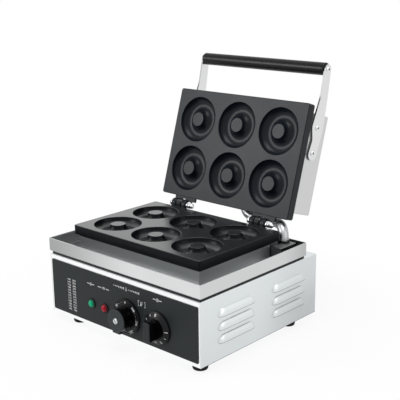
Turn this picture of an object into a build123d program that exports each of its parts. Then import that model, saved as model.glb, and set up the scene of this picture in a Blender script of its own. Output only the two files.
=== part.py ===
from build123d import *

import os

# A six-ring donut maker: a sheet-steel body on rubber feet, a drip tray on a heat barrier, a fixed
# lower mould plate, and a lid that carries the upper mould plate, its cover and its handle.
# Millimetres. The origin is the centre of the body's footprint on the worktop, the front faces -Y
# and +Z is up. The lid is modelled shut, then turned back to the open position where it rests.

# Mould plates: one casting pattern, used face up below and face down in the lid
RING_R = 41.0
CORE_R = 13.0
RING_DEPTH = 13.0
RING_RIM = 0.8
RING_WALL = 4.9
RING_BOSS = 3.0
RING_COLUMNS = 3
RING_ROWS = 2
RING_GAP_X = 10.5
RING_GAP_Y = 9.0
PLATE_MARGIN = 12.7
PLATE_T = 15.6
PLATE_CORNER = 4.0
PLATE_EDGE = 1.2
PLATE_GAP = 0.5

# Sheet-steel body, with room for the plate and the tray round it
PLATE_ROOM_SIDE = 28.8
PLATE_ROOM_FRONT = 30.65
PLATE_ROOM_REAR = 35.95
TRAY_SETBACK = 28.5
BODY_H = 106.0
SHEET = 1.2
BEND = 1.6
SEAM = 0.2
FLANGE = 7.0
HOLE_PLAY = 0.15
CUT_PAST = 1.0

# Louvres pressed into both side walls, in two groups of three
LOUVRE_L = 86.0
LOUVRE_H = 12.4
LOUVRE_OUT = 5.0
LOUVRE_PITCH = 21.5
LOUVRE_ROWS = 3
LOUVRE_LOW = 27.6
LOUVRE_GROUPS_Y = (-63.8, 69.5)

# Rubber feet
FOOT_H = 10.4
FOOT_R = 11.8
FOOT_TOP_R = 13.4
FOOT_ROUND = 2.6
FOOT_INSET_LEFT = 53.0
FOOT_INSET_RIGHT = 17.0
FOOT_INSET_FRONT = 17.0
FOOT_INSET_REAR = 55.5
FOOT_SINK_R = 6.0
FOOT_SINK = 6.0
FOOT_SCREW_R = 2.5
FOOT_SCREW_HEAD_R = 4.6
FOOT_SCREW_HEAD = 3.0
FOOT_SCREW_TAIL = 6.0

# Rear wall, with its slots and the gland for a mains lead
REAR_SLOT_L = 40.0
REAR_SLOT_H = 4.0
REAR_SLOT_PITCH = 9.0
REAR_SLOTS = 5
REAR_SLOT_X = (10.0, 60.0)
REAR_SLOT_RISE = 51.6
GLAND_X = -110.0
GLAND_RISE = 33.6
GLAND_BORE_R = 4.0
GLAND_THREAD_R = 7.5
GLAND_HEX = 20.0
GLAND_HEX_L = 8.0
GLAND_CAP_R = 8.6
GLAND_CAP_L = 9.0
GLAND_TAIL = 9.0
GLAND_NUT = 5.0

# Front panel, by the steel border it leaves, and what is on it
PANEL_SIDE = 4.5
PANEL_LOW = 6.3
PANEL_TOP = 8.3
PANEL_T = 1.0
PANEL_CORNER = 2.5
CONTROL_RISE = 41.0
LAMP_GREEN_X = -69.0
LAMP_RED_X = -37.0
LAMP_R = 7.2
LAMP_DOME = 4.5
LAMP_RIM = 1.3
LAMP_RIM_T = 1.6
LAMP_SHANK_R = 5.5
LAMP_BODY_L = 26.0
LAMP_BODY_R = 7.0

# Thermostat with its knob, and the capillary bulb under the lower plate
THERMOSTAT_X = 16.5
THERMOSTAT_SIZE = (36.0, 34.0, 40.0)
THERMOSTAT_SKIRT_R = 30.0
THERMOSTAT_HUB_R = 18.8
THERMOSTAT_FACE_R = 19.2
THERMOSTAT_POINTER_W = 16.0
THERMOSTAT_POINTER_R = 21.5
THERMOSTAT_POINTER_T = 7.0
THERMOSTAT_CAP_R = 5.0
THERMOSTAT_CAP_T = 1.4
BULB_R = 2.9
BULB_L = 62.0
BULB_BACK = 14.0
CAPILLARY_R = 1.0

# Timer with its knob
TIMER_X = 85.5
TIMER_SIZE = (48.0, 40.0, 48.0)
TIMER_SKIRT_R = 27.5
TIMER_SKIRT_TOP_R = 18.0
TIMER_HUB_R = 13.6
TIMER_BAR_R = 15.7
TIMER_BAR_W = 13.0
TIMER_SKIRT_RIM = 1.4
TIMER_SKIRT_SLOPE = 4.2

# Both knobs
KNOB_GAP = 1.0
KNOB_SKIRT = 2.8
KNOB_HUB = 10.0
KNOB_H = 25.0
KNOB_ROUND = 1.2
SHAFT_R = 3.0
SHAFT_IN_BODY = 20.0
SHAFT_IN_KNOB = 17.0
SHAFT_HOLE_R = 4.0
RUN_CLEAR = 0.05

# Drip tray, on a heat barrier board that shows as a dark gap
BARRIER_T = 4.0
BARRIER_INSET = 3.0
TRAY_H = 23.0
TRAY_LAP = 2.6
TRAY_SHEET = 1.5
TRAY_BEND = 2.0
LEAD_SLOT_L = 44.0
LEAD_SLOT_W = 14.0

# Shroud between the tray and the lower plate
SHROUD_H = 28.4
SHROUD_INSET = 6.4
SHROUD_INSET_REAR = 18.3

# Heater, clamp plate and insulation behind each mould plate
HEATER_R = 3.25
HEATER_INSET = 9.0
HEATER_BEND = 20.0
HEATER_GAP = 20.0
HEATER_PIN_R = 1.6
HEATER_PIN_L = 10.0
CLAMP_INSET_X = 26.2
CLAMP_INSET_Y = 24.2
CLAMP_T = 1.5
CLAMP_BOLT_R = 3.0
CLAMP_HEAD_R = 5.0
CLAMP_HEAD = 3.6
CLAMP_THREAD = 8.0
INSULATION_T = 10.0

# Studs that hold the lower plate and the tray down to the deck
STUD_R = 3.0
STUD_INSET = 7.4
STUD_THREAD = 8.0
STUD_NUT = 5.0
STUD_NUT_HEX = 10.0
STUD_END = 4.0

# Hinge: three rounded knuckles a side on one bolt with a domed nut
HINGE_BACK = 14.4
HINGE_RISE = 0.8
HINGE_INSET = 54.2
HINGE_SHIFT = -2.0
KNUCKLE_R = 9.5
KNUCKLE_MID = 12.8
KNUCKLE_END = 10.7
KNUCKLE_ROUND = 2.2
KNUCKLE_GAP = 0.4
LUG_ROOT = 11.0
HINGE_STRIP = 3.9
NUT_BLOCK_L = 13.5
NUT_BLOCK_T = 5.0
NUT_BLOCK_CLEAR = 0.6
STOP_HEEL = 8.0
STOP_CLEAR = 0.3
BOLT_R = 3.0
BOLT_HEX = 10.0
BOLT_HEAD = 4.2
WASHER_R = 6.8
WASHER_T = 1.6
DOME_NUT_HEX = 7.5
DOME_R = 4.75
DOME_NUT_BORE = 8.5
DOME_NUT_FILL = 7.5
LID_OPEN = 107.25

# Lid cover
COVER_INSET = 6.3
COVER_INSET_FRONT = 12.3
COVER_INSET_REAR = 11.9
COVER_NIP = 5.0
COVER_H = 56.3
COVER_ROUND = 2.4
POST_INSET = 8.8
POST_HEX = 10.0
POST_THREAD = 8.0
COVER_SCREW_R = 2.5
COVER_SCREW_HEAD_R = 4.8
COVER_SCREW_HEAD = 2.6
COVER_SCREW_TAIL = 9.0

# Handle, measured from the plate's front edge and from the cover's open rim
GRIP_R = 11.0
GRIP_REACH = 64.4
GRIP_RISE = 21.5
GRIP_ROUND = 2.0
GRIP_BORE = 16.0
ARM_T = 3.0
ARM_NOSE = 8.5
ARM_NOSE_R = 8.0
ARM_WAIST_BACK = 47.0
ARM_WAIST_TOP = 37.1
ARM_WAIST_LOW = 17.3
ARM_WAIST_R = 60.0
ARM_SHOULDER = 18.4
ARM_LOBE = 14.5
ARM_LOBE_R = 14.0
ARM_TAIL = 12.2
ARM_TAIL_R = 10.8
ARM_DIP = 6.5
ARM_SCREW_REACH = 36.5
ARM_SCREW_PITCH = 43.5
ARM_SCREW_RISE = 23.5
ARM_SCREW_R = 2.5
ARM_SCREW_HEAD_R = 4.6
ARM_SCREW_HEAD = 2.4
ARM_NUT = 4.0
ARM_NUT_HEX = 8.0
ARM_SCREW_TAIL = 1.5

# Flexible metal conduit from the tray's riser box to the lid cover
RISER_W = 61.5
RISER_D = 42.0
RISER_H = 21.1
RISER_SIDE = 13.5
RISER_GAP = 1.0
CONDUIT_R = 8.8
CONDUIT_BORE_R = 6.6
CONDUIT_INSET = 19.5
CONDUIT_BACK = 33.0
CONDUIT_TOP = 22.2
CONDUIT_SEAT = 1.0
CONDUIT_LID_X = 25.0
CONDUIT_LID_RISE = 22.0
CONDUIT_LID_RUN = 24.0
CONDUIT_TURN_X = 36.0
CONDUIT_TURN_Y = 30.5
CONDUIT_RADII = (19.0, 38.0, 18.0)
FERRULE_R = 10.4
FERRULE_H = 3.4
FERRULE_TAIL = 7.0

# Terminal block, thermal cut-out, earth stud and wiring inside the body
BLOCK_SIZE = (64.0, 24.0, 20.0)
BLOCK_Y = 60.0
CUTOUT_R = 8.0
CUTOUT_H = 9.0
CUTOUT_X = -60.0
CUTOUT_INSET = 22.0
CUTOUT_HOLE_R = 9.0
EARTH_X = -60.0
EARTH_RISE = 49.6
EARTH_R = 3.0
EARTH_L = 16.0
EARTH_NUT = 5.0
EARTH_HEX = 10.0
WIRE_R = 1.4
WIRE_GAP = 0.4
WIRE_BEND = 9.0
WIRE_RISE = 12.0
WIRE_LEVEL = 36.0
WIRE_PITCH = 4.2
TERMINAL_PITCH = 12.0
TERMINAL_ROW = 6.0

# Places that follow from the sizes above
RING_PITCH_X = 2 * RING_R + RING_GAP_X
RING_PITCH_Y = 2 * RING_R + RING_GAP_Y
PLATE_W = (RING_COLUMNS - 1) * RING_PITCH_X + 2 * (RING_R + PLATE_MARGIN)
PLATE_D = (RING_ROWS - 1) * RING_PITCH_Y + 2 * (RING_R + PLATE_MARGIN)
BODY_W = PLATE_W + 2 * PLATE_ROOM_SIDE
BODY_D = PLATE_ROOM_FRONT + PLATE_D + PLATE_ROOM_REAR + TRAY_SETBACK
PANEL_W = BODY_W - 2 * PANEL_SIDE
PANEL_H = BODY_H - PANEL_LOW - PANEL_TOP
CLAMP_W = PLATE_W - 2 * CLAMP_INSET_X
CLAMP_D = PLATE_D - 2 * CLAMP_INSET_Y
FRONT_Y = -BODY_D / 2
REAR_Y = BODY_D / 2
SIDE_X = BODY_W / 2
BODY_Z = FOOT_H
DECK_Z = BODY_Z + BODY_H
INNER_X = SIDE_X - SHEET - SEAM
INNER_TOP = DECK_Z - SHEET - SEAM
FLOOR_Z = BODY_Z + SHEET
PANEL_Y = FRONT_Y - PANEL_T
CONTROL_HEIGHT = BODY_Z + CONTROL_RISE
GLAND_Z = BODY_Z + GLAND_RISE
EARTH_Z = BODY_Z + EARTH_RISE
TRAY_Z = DECK_Z + BARRIER_T
TRAY_REAR = REAR_Y - TRAY_SETBACK
TRAY_FLOOR = TRAY_Z + TRAY_SHEET
PLATE_BACK = TRAY_FLOOR + SHROUD_H
PLATE_FACE = PLATE_BACK + PLATE_T
PLATE_FRONT = FRONT_Y + PLATE_ROOM_FRONT
PLATE_REAR = PLATE_FRONT + PLATE_D
PLATE_Y = PLATE_FRONT + PLATE_D / 2
BOSS_BACK = PLATE_FACE - RING_DEPTH - RING_WALL
HEATER_Z = BOSS_BACK - HEATER_R
HEATER_X = CLAMP_W / 2 - HEATER_INSET
HEATER_FRONT = PLATE_Y - CLAMP_D / 2 + HEATER_INSET
LEAD_Y = PLATE_Y + CLAMP_D / 2 - HEATER_INSET
CLAMP_TOP = BOSS_BACK - 2 * HEATER_R
CLAMP_LOW = CLAMP_TOP - CLAMP_T
CUTOUT_Y = PLATE_Y + CLAMP_D / 2 - CUTOUT_INSET
INSULATION_TOP = CLAMP_LOW - CLAMP_HEAD - HOLE_PLAY
HINGE_Y = PLATE_REAR + HINGE_BACK
HINGE_Z = PLATE_FACE + HINGE_RISE
HINGE_AXIS = Axis((0, HINGE_Y, HINGE_Z), (1, 0, 0))
HINGE_REACH = KNUCKLE_MID / 2 + KNUCKLE_GAP + KNUCKLE_END
HINGE_CENTRES = [HINGE_SHIFT + side * (PLATE_W / 2 - HINGE_INSET) for side in (-1, 1)]
LID_FACE = PLATE_FACE + PLATE_GAP
LID_BACK = LID_FACE + PLATE_T
COVER_X = PLATE_W / 2 - COVER_INSET
COVER_WALLS = {-1: COVER_NIP - COVER_X, 1: COVER_X}
COVER_FRONT = PLATE_FRONT + COVER_INSET_FRONT
COVER_REAR = PLATE_REAR - COVER_INSET_REAR
COVER_TOP = LID_BACK + COVER_H
GRIP_Y = PLATE_FRONT - GRIP_REACH
GRIP_Z = LID_BACK + GRIP_RISE
RISER_X = SIDE_X - RISER_SIDE
SHROUD_X = PLATE_W / 2 - SHROUD_INSET
SHROUD_FRONT = PLATE_FRONT + SHROUD_INSET
SHROUD_REAR = PLATE_REAR - SHROUD_INSET_REAR
RISER_Y = SHROUD_REAR + RISER_GAP
RISER_TOP = TRAY_FLOOR + RISER_H
CONDUIT_X = RISER_X - CONDUIT_INSET
CONDUIT_Y = RISER_Y + CONDUIT_BACK
CONDUIT_TURN = (CONDUIT_X - CONDUIT_TURN_X, HINGE_Y + CONDUIT_TURN_Y)
RING_CENTRES = [
    (RING_PITCH_X * (column - (RING_COLUMNS - 1) / 2), PLATE_Y + RING_PITCH_Y * (row - (RING_ROWS - 1) / 2))
    for row in range(RING_ROWS)
    for column in range(RING_COLUMNS)
]
FOOT_CENTRES = [
    (x, y)
    for x in (FOOT_INSET_LEFT - SIDE_X, SIDE_X - FOOT_INSET_RIGHT)
    for y in (FRONT_Y + FOOT_INSET_FRONT, REAR_Y - FOOT_INSET_REAR)
]
STUD_CENTRES = [
    (side * (SHROUD_X - STUD_INSET), y)
    for side in (-1, 1)
    for y in (SHROUD_FRONT + STUD_INSET, SHROUD_REAR - STUD_INSET)
]
CLAMP_CENTRES = [(side * RING_PITCH_X / 2, PLATE_Y) for side in (-1, 1)]
POST_CENTRES = [
    (wall - side * POST_INSET, y)
    for side, wall in COVER_WALLS.items()
    for y in (COVER_FRONT + POST_INSET, COVER_REAR - POST_INSET)
]
ARM_SCREW_YS = [PLATE_FRONT + ARM_SCREW_REACH + step * ARM_SCREW_PITCH for step in (0, 1)]
ARM_SCREW_Z = LID_BACK + ARM_SCREW_RISE


def block(low, high):
    """Box between two opposite corners."""
    size = [b - a for a, b in zip(low, high)]
    return Pos(*low) * Box(*size, align=(Align.MIN, Align.MIN, Align.MIN))


def rod(radius, start, direction, length):
    """Round bar from a point along a direction."""
    return extrude(Plane(origin=start, z_dir=direction) * Circle(radius), amount=length)


def hexagon(across_flats, start, direction, length):
    """Hexagonal bar from a point along a direction."""
    outline = RegularPolygon(across_flats / 2, 6, major_radius=False)
    return extrude(Plane(origin=start, z_dir=direction) * outline, amount=length)


def tube_along(path, radius):
    """Round bar swept along a path of straight runs and arcs."""
    return sweep(Plane(origin=path @ 0, z_dir=path % 0) * Circle(radius), path=path)


def to_lid(shape):
    """Turns a piece over from below the parting plane into the shut lid, then opens the lid."""
    parting = Plane(origin=(0, 0, (PLATE_FACE + LID_FACE) / 2))
    return open_lid(mirror(shape, about=parting))


def open_lid(shape):
    """Turns a piece of the shut lid back to the open rest position."""
    return shape.rotate(HINGE_AXIS, -LID_OPEN)


def louvre_solid(length, height, out, inside):
    """Pressed hood on the +X wall at the origin, curved outwards, with a quarter dome at each end."""
    half = length / 2 - height
    roof = EllipticalCenterArc((0, 0), out, height, start_angle=0, arc_size=90)
    roof += Polyline((0, height), (0, 0), (out, 0))
    section = Plane(origin=(0, half, 0), x_dir=(1, 0, 0), z_dir=(0, -1, 0)) * make_face(roof)
    hood = extrude(section, amount=2 * half)
    dome = revolve(section, axis=Axis((0, half, 0), (-1, 0, 0)), revolution_arc=90)
    hood += [dome, mirror(dome, about=Plane.XZ)]
    edge = Line((-length / 2, 0), (length / 2, 0)) + CenterArc((half, 0), height, 0, 90)
    edge += [Line((half, height), (-half, height)), CenterArc((-half, 0), height, 90, 90)]
    return hood + extrude(Plane.YZ * make_face(edge), amount=-inside)


def folded(low, high, radius):
    """Box with a bend radius along its two upper edges from front to rear."""
    shape = block(low, high)
    return fillet(shape.faces().sort_by(Axis.Z)[-1].edges().filter_by(Axis.Y), radius)


def boxed(low, high, radius, end):
    """Box with a bend radius on its upright edges and round its lowest (0) or highest (-1) face."""
    shape = block(low, high)
    return fillet(shape.edges().filter_by(Axis.Z) + shape.faces().sort_by(Axis.Z)[end].edges(), radius)


def body_wrap():
    """Deck and both louvred side walls, folded from one sheet."""
    low = (SHEET - SIDE_X, FRONT_Y - CUT_PAST, BODY_Z - CUT_PAST)
    high = (SIDE_X - SHEET, REAR_Y + CUT_PAST, DECK_Z - SHEET)
    shell = folded((-SIDE_X, FRONT_Y, BODY_Z), (SIDE_X, REAR_Y, DECK_Z), BEND)
    shell -= folded(low, high, BEND - SHEET)
    hood = louvre_solid(LOUVRE_L, LOUVRE_H, LOUVRE_OUT, SHEET)
    hollow = louvre_solid(LOUVRE_L - 2 * SHEET, LOUVRE_H - SHEET, LOUVRE_OUT - SHEET, 2 * SHEET)
    vent = hood - hollow
    slot = block((-2 * SHEET, -LOUVRE_L / 2, 0), (LOUVRE_OUT, LOUVRE_L / 2, LOUVRE_H))
    for y in LOUVRE_GROUPS_Y:
        for row in range(LOUVRE_ROWS):
            spot = Pos(SIDE_X, y, BODY_Z + LOUVRE_LOW + row * LOUVRE_PITCH)
            right = spot * vent
            gap = spot * (hollow & slot)
            shell = shell - gap - mirror(gap, about=Plane.YZ)
            shell = shell + right + mirror(right, about=Plane.YZ)
    return shell - deck_holes(DECK_Z - SHEET, DECK_Z)


def deck_holes(low, high):
    """Passages for the studs, the lower leads and the conduit leads through one level."""
    tools = [Pos(0, LEAD_Y) * SlotOverall(LEAD_SLOT_L, LEAD_SLOT_W)]
    tools += [Pos(CONDUIT_X, CONDUIT_Y) * Circle(CONDUIT_BORE_R)]
    tools += [Pos(x, y) * Circle(STUD_R + HOLE_PLAY) for x, y in STUD_CENTRES]
    return extrude(Pos(0, 0, low - CUT_PAST) * Sketch(tools), amount=high - low + 2 * CUT_PAST)


def front_sheet():
    """Front wall between the sides, with a return flange along its top and bottom."""
    wall = block((-INNER_X, FRONT_Y, BODY_Z), (INNER_X, FRONT_Y + SHEET, INNER_TOP))
    for low in (FLOOR_Z, INNER_TOP - SHEET):
        wall += block((-INNER_X, FRONT_Y, low), (INNER_X, FRONT_Y + FLANGE, low + SHEET))
    return wall - panel_holes()


def control_panel():
    """Black fascia plate on the front wall."""
    plate = Rectangle(PANEL_W, PANEL_H, align=(Align.CENTER, Align.MIN))
    plate = fillet(plate.vertices(), PANEL_CORNER)
    face = Plane(origin=(0, FRONT_Y, BODY_Z + PANEL_LOW), x_dir=(1, 0, 0), z_dir=(0, -1, 0))
    return extrude(face * plate, amount=PANEL_T) - panel_holes()


def panel_holes():
    """Clearance for the two control shafts and the two lamp shanks."""
    holes = [(THERMOSTAT_X, SHAFT_HOLE_R), (TIMER_X, SHAFT_HOLE_R)]
    holes += [(x, LAMP_SHANK_R + HOLE_PLAY) for x in (LAMP_GREEN_X, LAMP_RED_X)]
    depth = FLANGE + PANEL_T
    start = PANEL_Y - CUT_PAST
    return Part() + [rod(r, (x, start, CONTROL_HEIGHT), (0, 1, 0), depth) for x, r in holes]


def rear_panel():
    """Rear wall between the sides, slotted, with the gland hole and the earth stud's hole."""
    wall = block((-INNER_X, REAR_Y - SHEET, BODY_Z), (INNER_X, REAR_Y, INNER_TOP))
    for low in (FLOOR_Z, INNER_TOP - SHEET):
        wall += block((-INNER_X, REAR_Y - FLANGE, low), (INNER_X, REAR_Y, low + SHEET))
    face = Plane(origin=(0, REAR_Y + CUT_PAST, 0), x_dir=(1, 0, 0), z_dir=(0, -1, 0))
    cuts = [Pos(GLAND_X, GLAND_Z) * Circle(GLAND_THREAD_R + HOLE_PLAY)]
    cuts += [Pos(EARTH_X, EARTH_Z) * Circle(EARTH_R + HOLE_PLAY)]
    for row in range(REAR_SLOTS):
        height = BODY_Z + REAR_SLOT_RISE + (row - (REAR_SLOTS - 1) / 2) * REAR_SLOT_PITCH
        cuts += [Pos(x, height) * SlotOverall(REAR_SLOT_L, REAR_SLOT_H) for x in REAR_SLOT_X]
    return wall - extrude(face * Sketch(cuts), amount=SHEET + 2 * CUT_PAST)


def bottom_plate():
    """Floor of the body, under the flanges of the front and rear walls."""
    edge = BODY_D / 2 - SHEET - SEAM
    plate = block((-INNER_X, -edge, BODY_Z), (INNER_X, edge, FLOOR_Z))
    holes = [Pos(x, y) * Circle(FOOT_SCREW_R + HOLE_PLAY) for x, y in FOOT_CENTRES]
    return plate - extrude(Pos(0, 0, BODY_Z) * Sketch(holes), amount=SHEET)


def rubber_foot(x, y):
    """Tapered foot with a sunk screw hole."""
    foot = Pos(x, y) * Cone(FOOT_R, FOOT_TOP_R, FOOT_H, align=(Align.CENTER, Align.CENTER, Align.MIN))
    foot = fillet(foot.edges().filter_by(GeomType.CIRCLE).group_by(Axis.Z)[0], FOOT_ROUND)
    foot -= rod(FOOT_SCREW_R + HOLE_PLAY, (x, y, 0), (0, 0, 1), FOOT_H)
    return foot - rod(FOOT_SINK_R, (x, y, 0), (0, 0, 1), FOOT_SINK)


def foot_screws():
    """Pan-head screws up through the feet into the floor."""
    screws = []
    for x, y in FOOT_CENTRES:
        seat = (x, y, FOOT_SINK)
        head = rod(FOOT_SCREW_HEAD_R, seat, (0, 0, -1), FOOT_SCREW_HEAD)
        screws.append(head + rod(FOOT_SCREW_R, seat, (0, 0, 1), FLOOR_Z + FOOT_SCREW_TAIL - FOOT_SINK))
    return Compound(children=screws)


def cord_gland():
    """Screwed gland for a mains lead: cap, hexagon and threaded tail through the rear wall."""
    out, inward = (0, 1, 0), (0, -1, 0)
    wall = (GLAND_X, REAR_Y, GLAND_Z)
    gland = hexagon(GLAND_HEX, wall, out, GLAND_HEX_L)
    cap = rod(GLAND_CAP_R, (GLAND_X, REAR_Y + GLAND_HEX_L, GLAND_Z), out, GLAND_CAP_L)
    gland += fillet(cap.edges().group_by(Axis.Y)[-1], GLAND_CAP_R - GLAND_BORE_R - SHEET)
    gland += rod(GLAND_THREAD_R, wall, inward, SHEET + GLAND_NUT + GLAND_TAIL)
    return gland - rod(GLAND_BORE_R, (GLAND_X, REAR_Y - BODY_D / 2, GLAND_Z), out, BODY_D)


def cord_gland_nut():
    """Lock nut on the gland's tail, inside the rear wall."""
    face = (GLAND_X, REAR_Y - SHEET, GLAND_Z)
    nut = hexagon(GLAND_HEX, face, (0, -1, 0), GLAND_NUT)
    return nut - rod(GLAND_THREAD_R + HOLE_PLAY, face, (0, -1, 0), GLAND_NUT)


def lamp_lens(x):
    """Domed lens with a shank through the panel."""
    seat = PANEL_Y - LAMP_RIM_T / 2
    dome = Plane(origin=(x, seat, CONTROL_HEIGHT), x_dir=(1, 0, 0), z_dir=(0, -1, 0))
    cap_r = (LAMP_R**2 + LAMP_DOME**2) / (2 * LAMP_DOME)
    lens = Pos(x, seat + cap_r - LAMP_DOME, CONTROL_HEIGHT) * Sphere(cap_r)
    lens &= extrude(dome * Circle(LAMP_R), amount=2 * LAMP_DOME)
    return lens + rod(LAMP_SHANK_R, (x, seat, CONTROL_HEIGHT), (0, 1, 0), FRONT_Y + SHEET - seat)


def lamp_bezels():
    """Dark rims round the two lenses."""
    rims = []
    for x in (LAMP_GREEN_X, LAMP_RED_X):
        start = (x, PANEL_Y, CONTROL_HEIGHT)
        rim = rod(LAMP_R + LAMP_RIM, start, (0, -1, 0), LAMP_RIM_T)
        rim -= rod(LAMP_SHANK_R + HOLE_PLAY, start, (0, -1, 0), LAMP_RIM_T)
        seat = (x, PANEL_Y - LAMP_RIM_T / 2, CONTROL_HEIGHT)
        rims.append(rim - rod(LAMP_R + HOLE_PLAY, seat, (0, -1, 0), LAMP_RIM_T))
    return Compound(children=rims)


def lamp_bodies():
    """Lamp holders behind the front wall."""
    back = FRONT_Y + SHEET
    spots = [(x, back, CONTROL_HEIGHT) for x in (LAMP_GREEN_X, LAMP_RED_X)]
    return Compound(children=[rod(LAMP_BODY_R, spot, (0, 1, 0), LAMP_BODY_L) for spot in spots])


def control_body(x, size):
    """Box of a rotary control behind the front wall, bored for its shaft."""
    width, depth, height = size
    back = FRONT_Y + SHEET
    low, high = CONTROL_HEIGHT - height / 2, CONTROL_HEIGHT + height / 2
    box = block((x - width / 2, back, low), (x + width / 2, back + depth, high))
    return box - rod(SHAFT_R + RUN_CLEAR, (x, back, CONTROL_HEIGHT), (0, 1, 0), SHAFT_IN_BODY)


def control_shaft(x):
    """Round shaft from inside a control to inside its knob."""
    tip = PANEL_Y - KNOB_GAP - SHAFT_IN_KNOB
    length = FRONT_Y + SHEET + SHAFT_IN_BODY - HOLE_PLAY - tip
    return rod(SHAFT_R, (x, tip, CONTROL_HEIGHT), (0, 1, 0), length)


def knob_plane(x, height):
    """Plane across a control's axis, facing out of the panel, this far off the panel."""
    origin = (x, PANEL_Y - height, CONTROL_HEIGHT)
    return Plane(origin=origin, x_dir=(1, 0, 0), z_dir=(0, -1, 0))


def shaft_socket(x):
    """Blind hole that a knob has for its shaft."""
    depth = KNOB_GAP + SHAFT_IN_KNOB + HOLE_PLAY
    return extrude(knob_plane(x, 0) * Circle(SHAFT_R + RUN_CLEAR), amount=depth)


def temperature_knob():
    """Round knob on a dial skirt, with a pointer lug under its face."""
    x = THERMOSTAT_X
    skirt = extrude(knob_plane(x, KNOB_GAP) * Circle(THERMOSTAT_SKIRT_R), amount=KNOB_SKIRT)
    skirt = chamfer(skirt.edges().group_by(Axis.Y)[0], KNOB_SKIRT / 2)
    base = KNOB_GAP + KNOB_SKIRT
    foot, face = Circle(THERMOSTAT_HUB_R), Circle(THERMOSTAT_FACE_R)
    hub = loft([knob_plane(x, base) * foot, knob_plane(x, KNOB_H) * face])
    hub = fillet(hub.edges().group_by(Axis.Y)[0], KNOB_ROUND)
    under_face = knob_plane(x, KNOB_H - THERMOSTAT_POINTER_T)
    outline = Rectangle(THERMOSTAT_POINTER_W, THERMOSTAT_POINTER_R, align=(Align.CENTER, Align.MAX))
    pointer = extrude(under_face * outline, amount=THERMOSTAT_POINTER_T)
    pointer = fillet(pointer.edges().group_by(Axis.Z)[0], KNOB_ROUND)
    seat = knob_plane(x, KNOB_H - THERMOSTAT_CAP_T) * Circle(THERMOSTAT_CAP_R)
    seat = extrude(seat, amount=THERMOSTAT_CAP_T)
    return skirt + hub + pointer - seat - shaft_socket(x)


def temperature_knob_cap():
    """Bright button let into the middle of the temperature knob's face."""
    base = knob_plane(THERMOSTAT_X, KNOB_H - THERMOSTAT_CAP_T)
    cap = extrude(base * Circle(THERMOSTAT_CAP_R - HOLE_PLAY), amount=2 * THERMOSTAT_CAP_T)
    return fillet(cap.edges().group_by(Axis.Y)[0], THERMOSTAT_CAP_T / 2)


def timer_knob():
    """Bar-grip knob on a sloping dial skirt."""
    x = TIMER_X
    skirt = extrude(knob_plane(x, KNOB_GAP) * Circle(TIMER_SKIRT_R), amount=TIMER_SKIRT_RIM)
    low = KNOB_GAP + TIMER_SKIRT_RIM
    high = low + TIMER_SKIRT_SLOPE
    rim, crown = Circle(TIMER_SKIRT_R), Circle(TIMER_SKIRT_TOP_R)
    skirt += loft([knob_plane(x, low) * rim, knob_plane(x, high) * crown])
    hub = extrude(knob_plane(x, KNOB_GAP) * Circle(TIMER_HUB_R), amount=KNOB_HUB - KNOB_GAP)
    bar = extrude(
        knob_plane(x, KNOB_GAP) * (Circle(TIMER_BAR_R) & Rectangle(TIMER_BAR_W, 3 * TIMER_BAR_R)),
        amount=KNOB_H - KNOB_GAP,
    )
    bar = fillet(bar.edges().group_by(Axis.Y)[0], KNOB_ROUND)
    return skirt + hub + bar - shaft_socket(x)


def heat_barrier():
    """Black board between the deck and the hot tray."""
    x = SIDE_X - BARRIER_INSET
    board = block((-x, FRONT_Y + BARRIER_INSET, DECK_Z), (x, TRAY_REAR - BARRIER_INSET, TRAY_Z))
    return board - deck_holes(DECK_Z, TRAY_Z)


def drip_tray():
    """Open tray that catches batter and crumbs round the lower plate."""
    rim = TRAY_Z + TRAY_H
    left = -SIDE_X - TRAY_LAP
    tray = boxed((left, FRONT_Y, TRAY_Z), (SIDE_X, TRAY_REAR, rim), TRAY_BEND, 0)
    low = (left + TRAY_SHEET, FRONT_Y + TRAY_SHEET, TRAY_FLOOR)
    high = (SIDE_X - TRAY_SHEET, TRAY_REAR - TRAY_SHEET, rim + CUT_PAST)
    tray -= boxed(low, high, TRAY_BEND - TRAY_SHEET, 0)
    return tray - deck_holes(TRAY_Z, TRAY_FLOOR)


def lower_shroud():
    """Sheet collar from the tray floor to the lower plate."""
    outline = Pos(0, (SHROUD_FRONT + SHROUD_REAR) / 2) * Rectangle(2 * SHROUD_X, SHROUD_REAR - SHROUD_FRONT)
    outline = fillet(outline.vertices(), BEND)
    return extrude(Pos(0, 0, TRAY_FLOOR) * (outline - offset(outline, -SHEET)), amount=SHROUD_H)


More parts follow.
